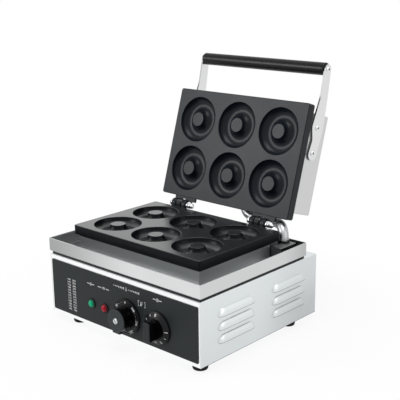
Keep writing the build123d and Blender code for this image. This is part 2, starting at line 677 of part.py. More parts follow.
def mould_plate():
    """Face-up casting: a flat slab with ring moulds, thicker behind each mould but where posts stand."""
    outline = Pos(0, PLATE_Y) * Rectangle(PLATE_W, PLATE_D)
    outline = fillet(outline.vertices(), PLATE_CORNER)
    slab = extrude(Pos(0, 0, PLATE_BACK) * outline, amount=PLATE_T)
    slab = fillet(slab.faces().sort_by(Axis.Z)[-1].edges(), PLATE_EDGE)
    front, rear = COVER_FRONT + 2 * SHEET, SHROUD_REAR - 2 * SHEET
    left, right = COVER_WALLS[-1] + 2 * SHEET, SHROUD_X - 2 * SHEET
    room = block((left, front, BOSS_BACK), (right, rear, PLATE_BACK))
    for x, y in RING_CENTRES:
        slab += room & rod(RING_R + RING_BOSS, (x, y, BOSS_BACK), (0, 0, 1), PLATE_BACK - BOSS_BACK)
    for x, y in POST_CENTRES:
        slab -= rod(POST_HEX / 3**0.5 + HOLE_PLAY, (x, y, BOSS_BACK), (0, 0, 1), PLATE_BACK - BOSS_BACK)
    half = (RING_R - CORE_R) / 2
    round_r = (half**2 + RING_DEPTH**2) / (2 * RING_DEPTH)
    groove = Torus((RING_R + CORE_R) / 2, round_r)
    for x, y in RING_CENTRES:
        slab -= Pos(x, y, PLATE_FACE + round_r - RING_DEPTH) * groove
    rims = slab.edges().filter_by(GeomType.CIRCLE).filter_by_position(
        Axis.Z, PLATE_FACE - RING_RIM / 10, PLATE_FACE + RING_RIM / 10
    )
    slab = fillet([edge for edge in rims if edge.radius > PLATE_CORNER], RING_RIM)
    for x, y in CLAMP_CENTRES:
        slab -= rod(CLAMP_BOLT_R + HOLE_PLAY, (x, y, PLATE_BACK), (0, 0, 1), CLAMP_THREAD)
    return slab


def lug(low, high):
    """Hinge lug of a face-up plate between two x places."""
    root = PLATE_REAR - PLATE_CORNER
    web_top = HINGE_Z - HINGE_RISE - KNUCKLE_GAP
    side = Plane(origin=(low, 0, 0), x_dir=(0, 1, 0), z_dir=(1, 0, 0))
    web = Polyline(
        (root, web_top),
        (HINGE_Y, web_top),
        (HINGE_Y, HINGE_Z - KNUCKLE_R),
        (root, web_top - LUG_ROOT),
        close=True,
    )
    shape = extrude(side * make_face(web), amount=high - low)
    barrel = extrude(side * (Pos(HINGE_Y, HINGE_Z) * Circle(KNUCKLE_R)), amount=high - low)
    shape += fillet(barrel.edges().filter_by(GeomType.CIRCLE), KNUCKLE_ROUND)
    return shape - bolt_bore(low, high)


def bolt_bore(low, high):
    """Running bore for a hinge bolt through one knuckle."""
    start = (low - CUT_PAST, HINGE_Y, HINGE_Z)
    return rod(BOLT_R + RUN_CLEAR, start, (1, 0, 0), high - low + 2 * CUT_PAST)


def hinge_strip(centre):
    """Rib along a face-up plate's rear edge that the lugs of one hinge spring from."""
    top = HINGE_Z - HINGE_RISE - KNUCKLE_GAP
    root = (centre - HINGE_REACH, PLATE_REAR - PLATE_CORNER, top - LUG_ROOT)
    return block(root, (centre + HINGE_REACH, PLATE_REAR + HINGE_STRIP, top))


def nut_block(centre):
    """Block on a face-up plate's rear edge that covers one domed nut."""
    top = HINGE_Z - HINGE_RISE - KNUCKLE_GAP
    root = (centre + HINGE_REACH, PLATE_REAR - PLATE_CORNER, top - NUT_BLOCK_T)
    rear = HINGE_Y - WASHER_R - NUT_BLOCK_CLEAR
    return block(root, (centre + HINGE_REACH + NUT_BLOCK_L, rear, top))


def end_knuckles(centre):
    """The two outer knuckle spans of one hinge, each as low and high x."""
    inner = KNUCKLE_MID / 2 + KNUCKLE_GAP
    return [(centre - HINGE_REACH, centre - inner), (centre + inner, centre + HINGE_REACH)]


def lower_plate():
    """Fixed mould plate with the middle hinge lugs and the blind stud holes."""
    plate = mould_plate()
    for centre in HINGE_CENTRES:
        plate += hinge_strip(centre)
        plate += lug(centre - KNUCKLE_MID / 2, centre + KNUCKLE_MID / 2)
    for x, y in STUD_CENTRES:
        plate -= rod(STUD_R + HOLE_PLAY, (x, y, PLATE_BACK), (0, 0, 1), STUD_THREAD)
    return plate


def stop_heel(low, high):
    """Heel of an open lid lug that meets the lower plate's rib and holds the lid from falling back."""
    face = PLATE_REAR + HINGE_STRIP + STOP_CLEAR
    heel = block((low, face, HINGE_Z - STOP_HEEL), (high, HINGE_Y, HINGE_Z - HINGE_RISE - STOP_CLEAR))
    return heel - bolt_bore(low, high)


def upper_plate():
    """Mould plate of the lid with the outer hinge lugs, their heels, the nut blocks and the cover post holes."""
    plate = mould_plate()
    for centre in HINGE_CENTRES:
        plate += [hinge_strip(centre), nut_block(centre)]
    for x, y in POST_CENTRES:
        plate -= rod(COVER_SCREW_R + HOLE_PLAY, (x, y, PLATE_BACK), (0, 0, 1), POST_THREAD)
    plate = to_lid(plate)
    for centre in HINGE_CENTRES:
        for low, high in end_knuckles(centre):
            arm = mirror(lug(low, high), about=Plane(origin=(0, 0, HINGE_Z)))
            plate += open_lid(arm) + stop_heel(low, high)
    return plate


def heater_path():
    """Open loop of the heater, with both ends facing each other at the rear."""
    front, rear, x = HEATER_FRONT, LEAD_Y, HEATER_X
    corners = [(-HEATER_GAP, rear), (-x, rear), (-x, front), (x, front), (x, rear), (HEATER_GAP, rear)]
    return FilletPolyline(*[(px, py, HEATER_Z) for px, py in corners], radius=HEATER_BEND)


def heater():
    """Tubular heating element with a cold pin at each end."""
    tube = tube_along(heater_path(), HEATER_R)
    for side in (-1, 1):
        tube += rod(HEATER_PIN_R, (side * HEATER_GAP, LEAD_Y, HEATER_Z), (-side, 0, 0), HEATER_PIN_L)
    return tube


def lead_notch(low, high):
    """Gap that the heater pins and leads need at the rear edge of a plate."""
    front = LEAD_Y - LEAD_SLOT_W
    return block((-HEATER_GAP, front, low - CUT_PAST), (HEATER_GAP, PLATE_REAR, high + CUT_PAST))


def clamp_plate():
    """Steel plate that presses the heater to the casting."""
    x, y = CLAMP_W / 2, CLAMP_D / 2
    plate = block((-x, PLATE_Y - y, CLAMP_LOW), (x, PLATE_Y + y, CLAMP_TOP))
    for bx, by in CLAMP_CENTRES:
        plate -= rod(CLAMP_BOLT_R + HOLE_PLAY, (bx, by, CLAMP_LOW), (0, 0, 1), CLAMP_T)
    return plate - lead_notch(CLAMP_LOW, CLAMP_TOP)


def clamp_bolts():
    """Hexagon bolts through the clamp plate into the casting."""
    bolts = []
    length = PLATE_BACK + CLAMP_THREAD - HOLE_PLAY - CLAMP_LOW
    for x, y in CLAMP_CENTRES:
        head = hexagon(2 * CLAMP_HEAD_R, (x, y, CLAMP_LOW - CLAMP_HEAD), (0, 0, 1), CLAMP_HEAD)
        bolts.append(head + rod(CLAMP_BOLT_R, (x, y, CLAMP_LOW), (0, 0, 1), length))
    return Compound(children=bolts)


def insulation():
    """Mineral board behind the clamp plate, with a hole where a cut-out can sit."""
    x, y = CLAMP_W / 2, CLAMP_D / 2
    low = INSULATION_TOP - INSULATION_T
    board = block((-x, PLATE_Y - y, low), (x, PLATE_Y + y, INSULATION_TOP))
    board -= rod(CUTOUT_HOLE_R, (CUTOUT_X, CUTOUT_Y, low), (0, 0, 1), INSULATION_T)
    return board - lead_notch(low, INSULATION_TOP)


def plate_studs():
    """Long studs from the lower plate down through the tray, the barrier and the deck."""
    low = DECK_Z - SHEET - STUD_NUT - STUD_END
    length = PLATE_BACK + STUD_THREAD - HOLE_PLAY - low
    return Compound(children=[rod(STUD_R, (x, y, low), (0, 0, 1), length) for x, y in STUD_CENTRES])


def plate_stud_nuts():
    """Nuts on the studs under the deck."""
    nuts = []
    for x, y in STUD_CENTRES:
        top = (x, y, DECK_Z - SHEET)
        nut = hexagon(STUD_NUT_HEX, top, (0, 0, -1), STUD_NUT)
        nuts.append(nut - rod(STUD_R + HOLE_PLAY, top, (0, 0, -1), STUD_NUT))
    return Compound(children=nuts)


def thermostat_bulb():
    """Capillary bulb under the lower plate, with its fine tube down to the thermostat."""
    z = BOSS_BACK - BULB_R - HOLE_PLAY
    x = LEAD_SLOT_L / 2 - LEAD_SLOT_W / 2
    y = LEAD_Y
    back = FRONT_Y + SHEET + THERMOSTAT_SIZE[1] + HOLE_PLAY
    start = PLATE_Y + BULB_BACK
    bulb = rod(BULB_R, (-BULB_L, start, z), (1, 0, 0), BULB_L)
    drop = CONTROL_HEIGHT + WIRE_BEND
    corners = [(0, start, z), (x, start, z), (x, y, z), (x, y, drop), (x, back, drop)]
    return bulb + tube_along(FilletPolyline(*corners, radius=WIRE_BEND), CAPILLARY_R)


def thermal_cutout():
    """Cut-out disc on the underside of the lower clamp plate."""
    return rod(CUTOUT_R, (CUTOUT_X, CUTOUT_Y, CLAMP_LOW), (0, 0, -1), CUTOUT_H)


def terminal_block():
    """Terminal block on the floor of the body."""
    return Pos(0, BLOCK_Y, FLOOR_Z) * Box(*BLOCK_SIZE, align=(Align.CENTER, Align.CENTER, Align.MIN))


def earth_stud():
    """Earth bolt through the rear wall with its nut."""
    start = (EARTH_X, REAR_Y, EARTH_Z)
    bolt = hexagon(EARTH_HEX, start, (0, 1, 0), EARTH_NUT) + rod(EARTH_R, start, (0, -1, 0), EARTH_L)
    return bolt + hexagon(EARTH_HEX, (EARTH_X, REAR_Y - SHEET, EARTH_Z), (0, -1, 0), EARTH_NUT)


def wiring():
    """Leads from the terminal block to the gland, both heaters and the two controls."""
    top = FLOOR_Z + BLOCK_SIZE[2] + WIRE_GAP
    front_row, rear_row = BLOCK_Y - TERMINAL_ROW, BLOCK_Y + TERMINAL_ROW
    gland_end = REAR_Y - SHEET - GLAND_NUT - GLAND_TAIL - WIRE_GAP
    riser_end = RISER_TOP - FERRULE_TAIL - WIRE_GAP
    pin_end = HEATER_Z - HEATER_PIN_R - WIRE_GAP
    routes = []
    for side in (-1, 1):
        x = side * (HEATER_GAP - HEATER_PIN_L - HEATER_PIN_R)
        routes.append([(x, LEAD_Y, pin_end), (x, LEAD_Y, top + WIRE_LEVEL), (x, rear_row, top + WIRE_RISE)])
        rise, x = CONDUIT_X + side * WIRE_PITCH / 2, 2 * TERMINAL_PITCH + side * WIRE_PITCH
        level = top + WIRE_LEVEL + side * WIRE_PITCH
        bend, end = (rise, CONDUIT_Y, level), (x, rear_row, level - WIRE_RISE)
        routes.append([(rise, CONDUIT_Y, riser_end), bend, end])
        x, level = side * WIRE_PITCH - 2 * TERMINAL_PITCH, GLAND_Z + side * WIRE_PITCH / 2
        bend, end = (GLAND_X, rear_row, level), (x, rear_row, top + WIRE_RISE)
        routes.append([(GLAND_X, gland_end, level), bend, end])
    for x, size, pole in ((THERMOSTAT_X, THERMOSTAT_SIZE, -1), (TIMER_X, TIMER_SIZE, 2)):
        back, level = FRONT_Y + SHEET + size[1] + WIRE_GAP, CONTROL_HEIGHT - WIRE_BEND
        end = (pole * TERMINAL_PITCH, front_row, top + WIRE_RISE)
        routes.append([(x, back, level), (x, back + WIRE_LEVEL, level), end])
    leads = []
    for route in routes:
        x, y, _ = route[-1]
        path = FilletPolyline(*route, (x, y, top), radius=WIRE_BEND / 2)
        leads.append(tube_along(path, WIRE_R))
    return Compound(children=leads)


def hinge_ends(centre):
    """Where the left and right washers of one hinge start."""
    return centre - HINGE_REACH - WASHER_T, centre + HINGE_REACH


def hinge_bolts():
    """Hexagon bolts through the three knuckles of each hinge, with their heads on the left."""
    bolts = []
    for centre in HINGE_CENTRES:
        left, right = hinge_ends(centre)
        length = right - left + WASHER_T + DOME_NUT_FILL
        head = hexagon(BOLT_HEX, (left, HINGE_Y, HINGE_Z), (-1, 0, 0), BOLT_HEAD)
        bolts.append(head + rod(BOLT_R, (left, HINGE_Y, HINGE_Z), (1, 0, 0), length))
    return Compound(children=bolts)


def hinge_washers():
    """Plain washers under each bolt head and each nut."""
    washers = []
    for centre in HINGE_CENTRES:
        for x in hinge_ends(centre):
            ring = rod(WASHER_R, (x, HINGE_Y, HINGE_Z), (1, 0, 0), WASHER_T)
            washers.append(ring - rod(BOLT_R + HOLE_PLAY, (x, HINGE_Y, HINGE_Z), (1, 0, 0), WASHER_T))
    return Compound(children=washers)


def hinge_dome_nuts():
    """Domed nuts that cover the ends of the hinge bolts."""
    nuts = []
    for centre in HINGE_CENTRES:
        x = hinge_ends(centre)[1] + WASHER_T
        nut = hexagon(BOLT_HEX, (x, HINGE_Y, HINGE_Z), (1, 0, 0), DOME_NUT_HEX)
        nut += Pos(x + DOME_NUT_HEX, HINGE_Y, HINGE_Z) * Sphere(DOME_R)
        nuts.append(nut - rod(BOLT_R + HOLE_PLAY, (x, HINGE_Y, HINGE_Z), (1, 0, 0), DOME_NUT_BORE))
    return Compound(children=nuts)


def lid_cover():
    """Sheet box over the back of the upper plate, with its screw and conduit holes."""
    left, right = COVER_WALLS.values()
    cover = boxed((left, COVER_FRONT, LID_BACK), (right, COVER_REAR, COVER_TOP), COVER_ROUND, -1)
    cover -= boxed(
        (left + SHEET, COVER_FRONT + SHEET, LID_BACK - CUT_PAST),
        (right - SHEET, COVER_REAR - SHEET, COVER_TOP - SHEET),
        COVER_ROUND - SHEET,
        -1,
    )
    for x, y in POST_CENTRES:
        cover -= rod(COVER_SCREW_R + HOLE_PLAY, (x, y, COVER_TOP - 2 * SHEET), (0, 0, 1), 3 * SHEET)
    for y in ARM_SCREW_YS:
        cover -= rod(ARM_SCREW_R + HOLE_PLAY, (left, y, ARM_SCREW_Z), (1, 0, 0), right - left)
    entry = (CONDUIT_LID_X, COVER_REAR - 2 * SHEET, LID_BACK + CONDUIT_LID_RISE)
    cover -= rod(CONDUIT_R + HOLE_PLAY, entry, (0, 1, 0), 3 * SHEET)
    return open_lid(cover)


def cover_posts():
    """Hexagon posts between the upper plate's back and the inside of the cover."""
    posts = []
    tap = COVER_SCREW_TAIL + HOLE_PLAY
    for x, y in POST_CENTRES:
        foot, head = (x, y, LID_BACK), (x, y, COVER_TOP - SHEET)
        post = hexagon(POST_HEX, foot, (0, 0, 1), COVER_H - SHEET)
        post -= rod(COVER_SCREW_R + HOLE_PLAY, head, (0, 0, -1), tap)
        posts.append(open_lid(post + rod(COVER_SCREW_R, foot, (0, 0, -1), POST_THREAD - HOLE_PLAY)))
    return Compound(children=posts)


def cover_screws():
    """Pan-head screws through the top of the cover into the posts."""
    screws = []
    for x, y in POST_CENTRES:
        seat = (x, y, COVER_TOP)
        head = rod(COVER_SCREW_HEAD_R, seat, (0, 0, 1), COVER_SCREW_HEAD)
        head = fillet(head.edges().group_by(Axis.Z)[-1], COVER_SCREW_HEAD / 2)
        screws.append(open_lid(head + rod(COVER_SCREW_R, seat, (0, 0, -1), SHEET + COVER_SCREW_TAIL)))
    return Compound(children=screws)


def arm_outline():
    """Side outline of a handle arm: a nose round the grip, a waist, and two lobes at the screws."""
    front, rear = ARM_SCREW_YS
    z = ARM_SCREW_Z
    waist = GRIP_Y + ARM_WAIST_BACK
    corners = [
        ((waist, LID_BACK + ARM_WAIST_LOW), ARM_WAIST_R),
        ((GRIP_Y - ARM_NOSE, GRIP_Z - ARM_NOSE), ARM_NOSE_R),
        ((GRIP_Y - ARM_NOSE, GRIP_Z + ARM_NOSE), ARM_NOSE_R),
        ((waist, LID_BACK + ARM_WAIST_TOP), ARM_WAIST_R),
        ((front, z + ARM_SHOULDER), ARM_WAIST_R),
        ((rear + ARM_TAIL, z + ARM_TAIL), ARM_TAIL_R),
        ((rear + ARM_TAIL, z - ARM_TAIL), ARM_TAIL_R),
        (((front + rear) / 2, z - ARM_DIP), ARM_LOBE_R),
        ((front, z - ARM_LOBE), ARM_LOBE_R),
    ]
    points, radii = zip(*corners)
    return make_face(FilletPolyline(*points, radius=radii, close=True))


def handle_arm(side):
    """Flat steel arm on one side wall of the cover, from its screws to the grip."""
    flank = Plane(origin=(COVER_WALLS[side], 0, 0), x_dir=(0, 1, 0), z_dir=(1, 0, 0))
    arm = extrude(flank * arm_outline(), amount=side * ARM_T)
    spots = [(y, ARM_SCREW_Z) for y in ARM_SCREW_YS] + [(GRIP_Y, GRIP_Z)]
    for y, z in spots:
        arm -= rod(ARM_SCREW_R + HOLE_PLAY, (COVER_WALLS[side], y, z), (side, 0, 0), ARM_T)
    return open_lid(arm)


def handle_grip():
    """Black round grip between the two arms."""
    left, right = COVER_WALLS.values()
    grip = rod(GRIP_R, (left, GRIP_Y, GRIP_Z), (1, 0, 0), right - left)
    grip = fillet(grip.edges().filter_by(GeomType.CIRCLE), GRIP_ROUND)
    for side, wall in COVER_WALLS.items():
        grip -= rod(ARM_SCREW_R + HOLE_PLAY, (wall, GRIP_Y, GRIP_Z), (-side, 0, 0), GRIP_BORE)
    return open_lid(grip)


def pan_screw(side, y, z, tail):
    """Pan-head screw on the outer face of an arm."""
    face = (COVER_WALLS[side] + side * ARM_T, y, z)
    head = rod(ARM_SCREW_HEAD_R, face, (side, 0, 0), ARM_SCREW_HEAD)
    outer = head.edges().group_by(Axis.X)[-1 if side > 0 else 0]
    head = fillet(outer, ARM_SCREW_HEAD / 2)
    return open_lid(head + rod(ARM_SCREW_R, face, (-side, 0, 0), tail))


def grip_screws():
    """Screws through the arms into the ends of the grip."""
    tail = ARM_T + GRIP_BORE - HOLE_PLAY
    return Compound(children=[pan_screw(side, GRIP_Y, GRIP_Z, tail) for side in (-1, 1)])


def arm_screws():
    """Screws that hold the arms to the cover's side walls."""
    tail = ARM_T + SHEET + ARM_NUT + ARM_SCREW_TAIL
    screws = [pan_screw(side, y, ARM_SCREW_Z, tail) for side in (-1, 1) for y in ARM_SCREW_YS]
    return Compound(children=screws)


def arm_nuts():
    """Nuts on the arm screws inside the cover."""
    nuts = []
    for side, wall in COVER_WALLS.items():
        for y in ARM_SCREW_YS:
            start = (wall - side * SHEET, y, ARM_SCREW_Z)
            nut = hexagon(ARM_NUT_HEX, start, (-side, 0, 0), ARM_NUT)
            nuts.append(open_lid(nut - rod(ARM_SCREW_R + HOLE_PLAY, start, (-side, 0, 0), ARM_NUT)))
    return Compound(children=nuts)


def conduit_riser():
    """Sheet box on the tray floor that the conduit comes out of."""
    left, rear = RISER_X - RISER_W, RISER_Y + RISER_D
    riser = boxed((left, RISER_Y, TRAY_FLOOR), (RISER_X, rear, RISER_TOP), BEND, -1)
    riser -= boxed(
        (left + SHEET, RISER_Y + SHEET, TRAY_FLOOR - CUT_PAST),
        (RISER_X - SHEET, rear - SHEET, RISER_TOP - SHEET),
        BEND - SHEET,
        -1,
    )
    return riser - rod(CONDUIT_R + HOLE_PLAY, (CONDUIT_X, CONDUIT_Y, TRAY_FLOOR), (0, 0, 1), 2 * RISER_H)


def ferrule(wall, out):
    """Collar on a wall that a conduit end seats in, with a tail through the wall."""
    collar = rod(FERRULE_R, wall, out, FERRULE_H)
    inward = -Vector(*out)
    collar += rod(CONDUIT_R, wall, inward, FERRULE_TAIL)
    seat = Vector(*wall) + Vector(*out) * CONDUIT_SEAT
    collar -= rod(CONDUIT_R + HOLE_PLAY, seat, out, FERRULE_H)
    return collar - rod(CONDUIT_BORE_R, Vector(*wall) + inward * FERRULE_TAIL, out, 2 * FERRULE_TAIL)


def lid_ferrule():
    """Conduit collar on the hinge-side wall of the cover."""
    return open_lid(ferrule((CONDUIT_LID_X, COVER_REAR, LID_BACK + CONDUIT_LID_RISE), (0, 1, 0)))


def flex_conduit():
    """Interlocked metal hose that bends as the lid turns, here with the lid open."""
    wall = Vector(CONDUIT_LID_X, COVER_REAR, LID_BACK + CONDUIT_LID_RISE)
    marker = open_lid(Line(wall + Vector(0, CONDUIT_SEAT, 0), wall + Vector(0, CONDUIT_LID_RUN, 0)))
    base = (CONDUIT_X, CONDUIT_Y)
    level = RISER_TOP + CONDUIT_TOP
    start = (*base, RISER_TOP + CONDUIT_SEAT)
    corners = [start, (*base, level), (*CONDUIT_TURN, level), marker @ 1, marker @ 0]
    path = FilletPolyline(*corners, radius=CONDUIT_RADII)
    return tube_along(path, CONDUIT_R) - tube_along(path, CONDUIT_BORE_R)


FOOT_NAMES = ["foot_front_left", "foot_rear_left", "foot_front_right", "foot_rear_right"]

nodes = {
    "body_wrap": body_wrap(),
    "front_sheet": front_sheet(),
    "control_panel": control_panel(),
    "rear_panel": rear_panel(),
    "bottom_plate": bottom_plate(),
    "foot_screws": foot_screws(),
    "cord_gland": cord_gland(),
    "cord_gland_nut": cord_gland_nut(),
    "green_lamp_lens": lamp_lens(LAMP_GREEN_X),
    "red_lamp_lens": lamp_lens(LAMP_RED_X),
    "lamp_bezels": lamp_bezels(),
    "lamp_bodies": lamp_bodies(),
    "thermostat_body": control_body(THERMOSTAT_X, THERMOSTAT_SIZE),
    "thermostat_shaft": control_shaft(THERMOSTAT_X),
    "thermostat_bulb": thermostat_bulb(),
    "temperature_knob": temperature_knob(),
    "temperature_knob_cap": temperature_knob_cap(),
    "timer_body": control_body(TIMER_X, TIMER_SIZE),
    "timer_shaft": control_shaft(TIMER_X),
    "timer_knob": timer_knob(),
    "heat_barrier": heat_barrier(),
    "drip_tray": drip_tray(),
    "lower_shroud": lower_shroud(),
    "lower_plate": lower_plate(),
    "lower_heater": heater(),
    "lower_clamp_plate": clamp_plate(),
    "lower_clamp_bolts": clamp_bolts(),
    "lower_insulation": insulation(),
    "plate_studs": plate_studs(),
    "plate_stud_nuts": plate_stud_nuts(),
    "thermal_cutout": thermal_cutout(),
    "terminal_block": terminal_block(),
    "earth_stud": earth_stud(),
    "wiring": wiring(),
    "hinge_bolts": hinge_bolts(),
    "hinge_washers": hinge_washers(),
    "hinge_dome_nuts": hinge_dome_nuts(),
    "upper_plate": upper_plate(),
    "upper_heater": to_lid(heater()),
    "upper_clamp_plate": to_lid(clamp_plate()),
    "upper_clamp_bolts": to_lid(clamp_bolts()),
    "upper_insulation": to_lid(insulation()),
    "lid_cover": lid_cover(),
    "cover_posts": cover_posts(),
    "cover_screws": cover_screws(),
    "handle_arm_left": handle_arm(-1),
    "handle_arm_right": handle_arm(1),
    "handle_grip": handle_grip(),
    "grip_screws": grip_screws(),
    "arm_screws": arm_screws(),
    "arm_nuts": arm_nuts(),
    "conduit_riser": conduit_riser(),
    "base_ferrule": ferrule((CONDUIT_X, CONDUIT_Y, RISER_TOP), (0, 0, 1)),
    "lid_ferrule": lid_ferrule(),
    "flex_conduit": flex_conduit(),
}
nodes.update({name: rubber_foot(x, y) for name, (x, y) in zip(FOOT_NAMES, FOOT_CENTRES)})

os.makedirs("parts", exist_ok=True)
for name, shape in nodes.items():
    export_step(shape, f"parts/{name}.step")
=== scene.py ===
import math

import bmesh
import bpy
from mathutils import Matrix, Vector


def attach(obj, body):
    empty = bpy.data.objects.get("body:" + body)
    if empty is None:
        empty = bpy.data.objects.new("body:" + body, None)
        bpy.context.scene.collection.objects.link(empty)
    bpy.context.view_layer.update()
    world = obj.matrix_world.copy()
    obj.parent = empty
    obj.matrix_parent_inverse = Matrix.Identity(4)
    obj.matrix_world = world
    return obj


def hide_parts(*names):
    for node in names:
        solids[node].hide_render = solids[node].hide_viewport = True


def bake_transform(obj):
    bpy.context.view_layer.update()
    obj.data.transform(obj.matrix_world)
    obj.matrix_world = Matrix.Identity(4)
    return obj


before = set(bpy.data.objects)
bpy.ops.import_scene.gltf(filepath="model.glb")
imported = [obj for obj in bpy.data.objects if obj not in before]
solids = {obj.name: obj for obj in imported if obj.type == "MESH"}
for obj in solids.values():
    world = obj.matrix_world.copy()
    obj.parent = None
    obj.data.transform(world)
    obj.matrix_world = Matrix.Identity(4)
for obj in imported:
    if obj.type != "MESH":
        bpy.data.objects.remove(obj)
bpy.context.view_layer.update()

# The view: the machine is seen from its front right, a little above the deck, in a square frame.
# The lens and the place were worked out from the corners of the body, the tray and the plates.
azimuth, elevation, tilt = (math.radians(angle) for angle in (42.545, 15.373, -0.648))
back = Vector((
    math.sin(azimuth) * math.cos(elevation), -math.cos(azimuth) * math.cos(elevation), math.sin(elevation)
))
level = Vector((0, 0, 1)).cross(back).normalized()
upright = back.cross(level)
across = math.cos(tilt) * level + math.sin(tilt) * upright
upward = math.cos(tilt) * upright - math.sin(tilt) * level
bpy.ops.object.camera_add()
camera = bpy.context.object
camera.name = "camera"
camera.data.sensor_width = 36.0
camera.data.lens = 78.37
camera.data.dof.use_dof = False
camera_place = Matrix.Translation((0.9805, -1.0225, 0.6001))
camera.matrix_world = camera_place @ Matrix((across, upward, back)).transposed().to_4x4()
bpy.context.scene.camera = camera
bpy.context.scene.view_settings.view_transform = "Standard"


# The studio: a pale floor that runs into a white surround, a soft lamp at the front left, one overhead
# and a weak one at the right. Camera, mirror and glass rays see the surround as plain white, and the
# floor keeps a soft shadow that fades out round the machine.
class Shade:
    """An output socket of a finish; arithmetic on it adds Math nodes."""

    def __init__(self, finish, socket):
        self.finish = finish
        self.socket = socket

    def math(self, operation, *values):
        return self.finish.node("ShaderNodeMath", {"operation": operation}, dict(enumerate(values)))

    def __add__(self, other):
        return self.math("ADD", self, other)

    def __radd__(self, other):
        return self.math("ADD", other, self)

    def __sub__(self, other):
        return self.math("SUBTRACT", self, other)

    def __rsub__(self, other):
        return self.math("SUBTRACT", other, self)

    def __mul__(self, other):
        return self.math("MULTIPLY", self, other)

    def __rmul__(self, other):
        return self.math("MULTIPLY", other, self)

    def __pow__(self, other):
        return self.math("POWER", self, other)

    def __abs__(self):
        return self.math("ABSOLUTE", self)

    def step(self, low, high):
        """0 below low, 1 above high and smooth between."""
        settings = {"interpolation_type": "SMOOTHSTEP"}
        return self.finish.node("ShaderNodeMapRange", settings, {"Value": self, "From Min": low, "From Max": high})


class Finish:
    """A material built node by node round its Principled shader."""

    def __init__(self, material):
        material.use_nodes = True
        self.material = material
        self.tree = material.node_tree

    def node(self, kind, settings=None, values=None, output=0):
        made = self.tree.nodes.new(kind)
        for key, value in (settings or {}).items():
            setattr(made, key, value)
        self.feed(made, values or {})
        return Shade(self, made.outputs[output])

    def feed(self, made, values):
        for key, value in values.items():
            if isinstance(value, Shade):
                self.tree.links.new(value.socket, made.inputs[key])
            else:
                made.inputs[key].default_value = value

    def surface(self, **values):
        """Sets or links the shader's sockets; base_color stands for Base Color."""
        sockets = {key.replace("_", " ").title().replace("Ior", "IOR"): value for key, value in values.items()}
        self.feed(self.tree.nodes["Principled BSDF"], sockets)

    def place(self):
        return self.node("ShaderNodeTexCoord", output="Object")

    def axes(self, vector):
        split = self.tree.nodes.new("ShaderNodeSeparateXYZ")
        self.tree.links.new(vector.socket, split.inputs[0])
        return [Shade(self, socket) for socket in split.outputs]

    def stretched(self, vector, scale, turn=0.0):
        """The vector turned about X and then scaled."""
        turned = self.node("ShaderNodeMapping", {}, {"Vector": vector, "Rotation": (math.radians(turn), 0, 0)})
        return self.node("ShaderNodeMapping", {}, {"Vector": turned, "Scale": scale})

    def noise(self, vector, scale, detail=2.0, roughness=0.5):
        values = {"Vector": vector, "Scale": scale, "Detail": detail, "Roughness": roughness}
        return self.node("ShaderNodeTexNoise", {}, values)

    def mix(self, first, second, factor):
        settings = {"data_type": "RGBA"}
        return self.node("ShaderNodeMix", settings, {0: factor, 6: first, 7: second}, output=2)

    def bump(self, height, distance, strength=1.0):
        return self.node("ShaderNodeBump", {}, {"Height": height, "Distance": distance, "Strength": strength})


def white_to_sight(finish, kept):
    """Share of a surface that shows plain white: to the camera all but what is kept, to mirror and glass rays all."""
    path = finish.tree.nodes.new("ShaderNodeLightPath")
    seen, mirrored, through = (
        Shade(finish, path.outputs[name]) for name in ("Is Camera Ray", "Is Glossy Ray", "Is Transmission Ray")
    )
    return seen * (1 - kept) + mirrored + through


bpy.ops.object.select_all(action="DESELECT")
bpy.ops.mesh.primitive_plane_add(size=24.0, location=(0, 0, -0.0002))
floor = bpy.context.object
floor.name = "floor"
floor_finish = Finish(bpy.data.materials.new("pale floor"))
floor_finish.surface(base_color=(0.92, 0.92, 0.92, 1), roughness=0.9)
floor_glow = floor_finish.node("ShaderNodeEmission", {}, {"Color": (1, 1, 1, 1), "Strength": 1.0})
floor_diffuse = Shade(floor_finish, floor_finish.tree.nodes["Principled BSDF"].outputs[0])
floor_reach = floor_finish.node("ShaderNodeVectorMath", {"operation": "LENGTH"}, {0: floor_finish.place()}, "Value")
floor_shadow, shadow_near, shadow_far = 0.12, 0.2, 0.55
floor_kept = floor_shadow * (1 - floor_reach.step(shadow_near, shadow_far))
floor_mix = floor_finish.node(
    "ShaderNodeMixShader", {}, {0: white_to_sight(floor_finish, floor_kept), 1: floor_diffuse, 2: floor_glow}
)
floor_finish.feed(floor_finish.tree.nodes["Material Output"], {"Surface": floor_mix})
floor.data.materials.append(floor_finish.material)

surround = bpy.data.worlds.new("studio")
bpy.context.scene.world = surround
surround_finish = Finish(surround)
surround_share = white_to_sight(surround_finish, 0.0)
surround_light = surround_finish.tree.nodes["Background"]
surround_fill = 0.35
surround_strength = surround_fill + (1 - surround_fill) * surround_share
surround_finish.feed(surround_light, {"Color": (1, 1, 1, 1), "Strength": surround_strength})

lamp_target = Vector((0, 0, 0.15))
for name, spot, width, power in (
    ("front left lamp", (-1.3, -1.6, 1.0), 0.9, 20.0),
    ("overhead lamp", (0.1, -0.1, 2.2), 1.2, 22.0),
    ("right lamp", (1.9, 0.3, 0.9), 1.0, 5.0),
):
    bpy.ops.object.light_add(type="AREA", location=spot)
    lamp = bpy.context.object
    lamp.name = name
    lamp.data.size = width
    lamp.data.energy = power
    lamp.rotation_euler = (Vector(spot) - lamp_target).to_track_quat("Z", "Y").to_euler()


# Body: deck and louvred sides are folded from one stainless sheet, with the front and rear walls and
# the floor set between them. The sheet has a fine brushed grain along each wall.
def tone(red, green, blue):
    """Linear colour of an sRGB one with levels up to 255."""
    def linear(value):
        share = value / 255
        return share / 12.92 if share <= 0.04045 else ((share + 0.055) / 1.055) ** 2.4
    return (linear(red), linear(green), linear(blue), 1.0)


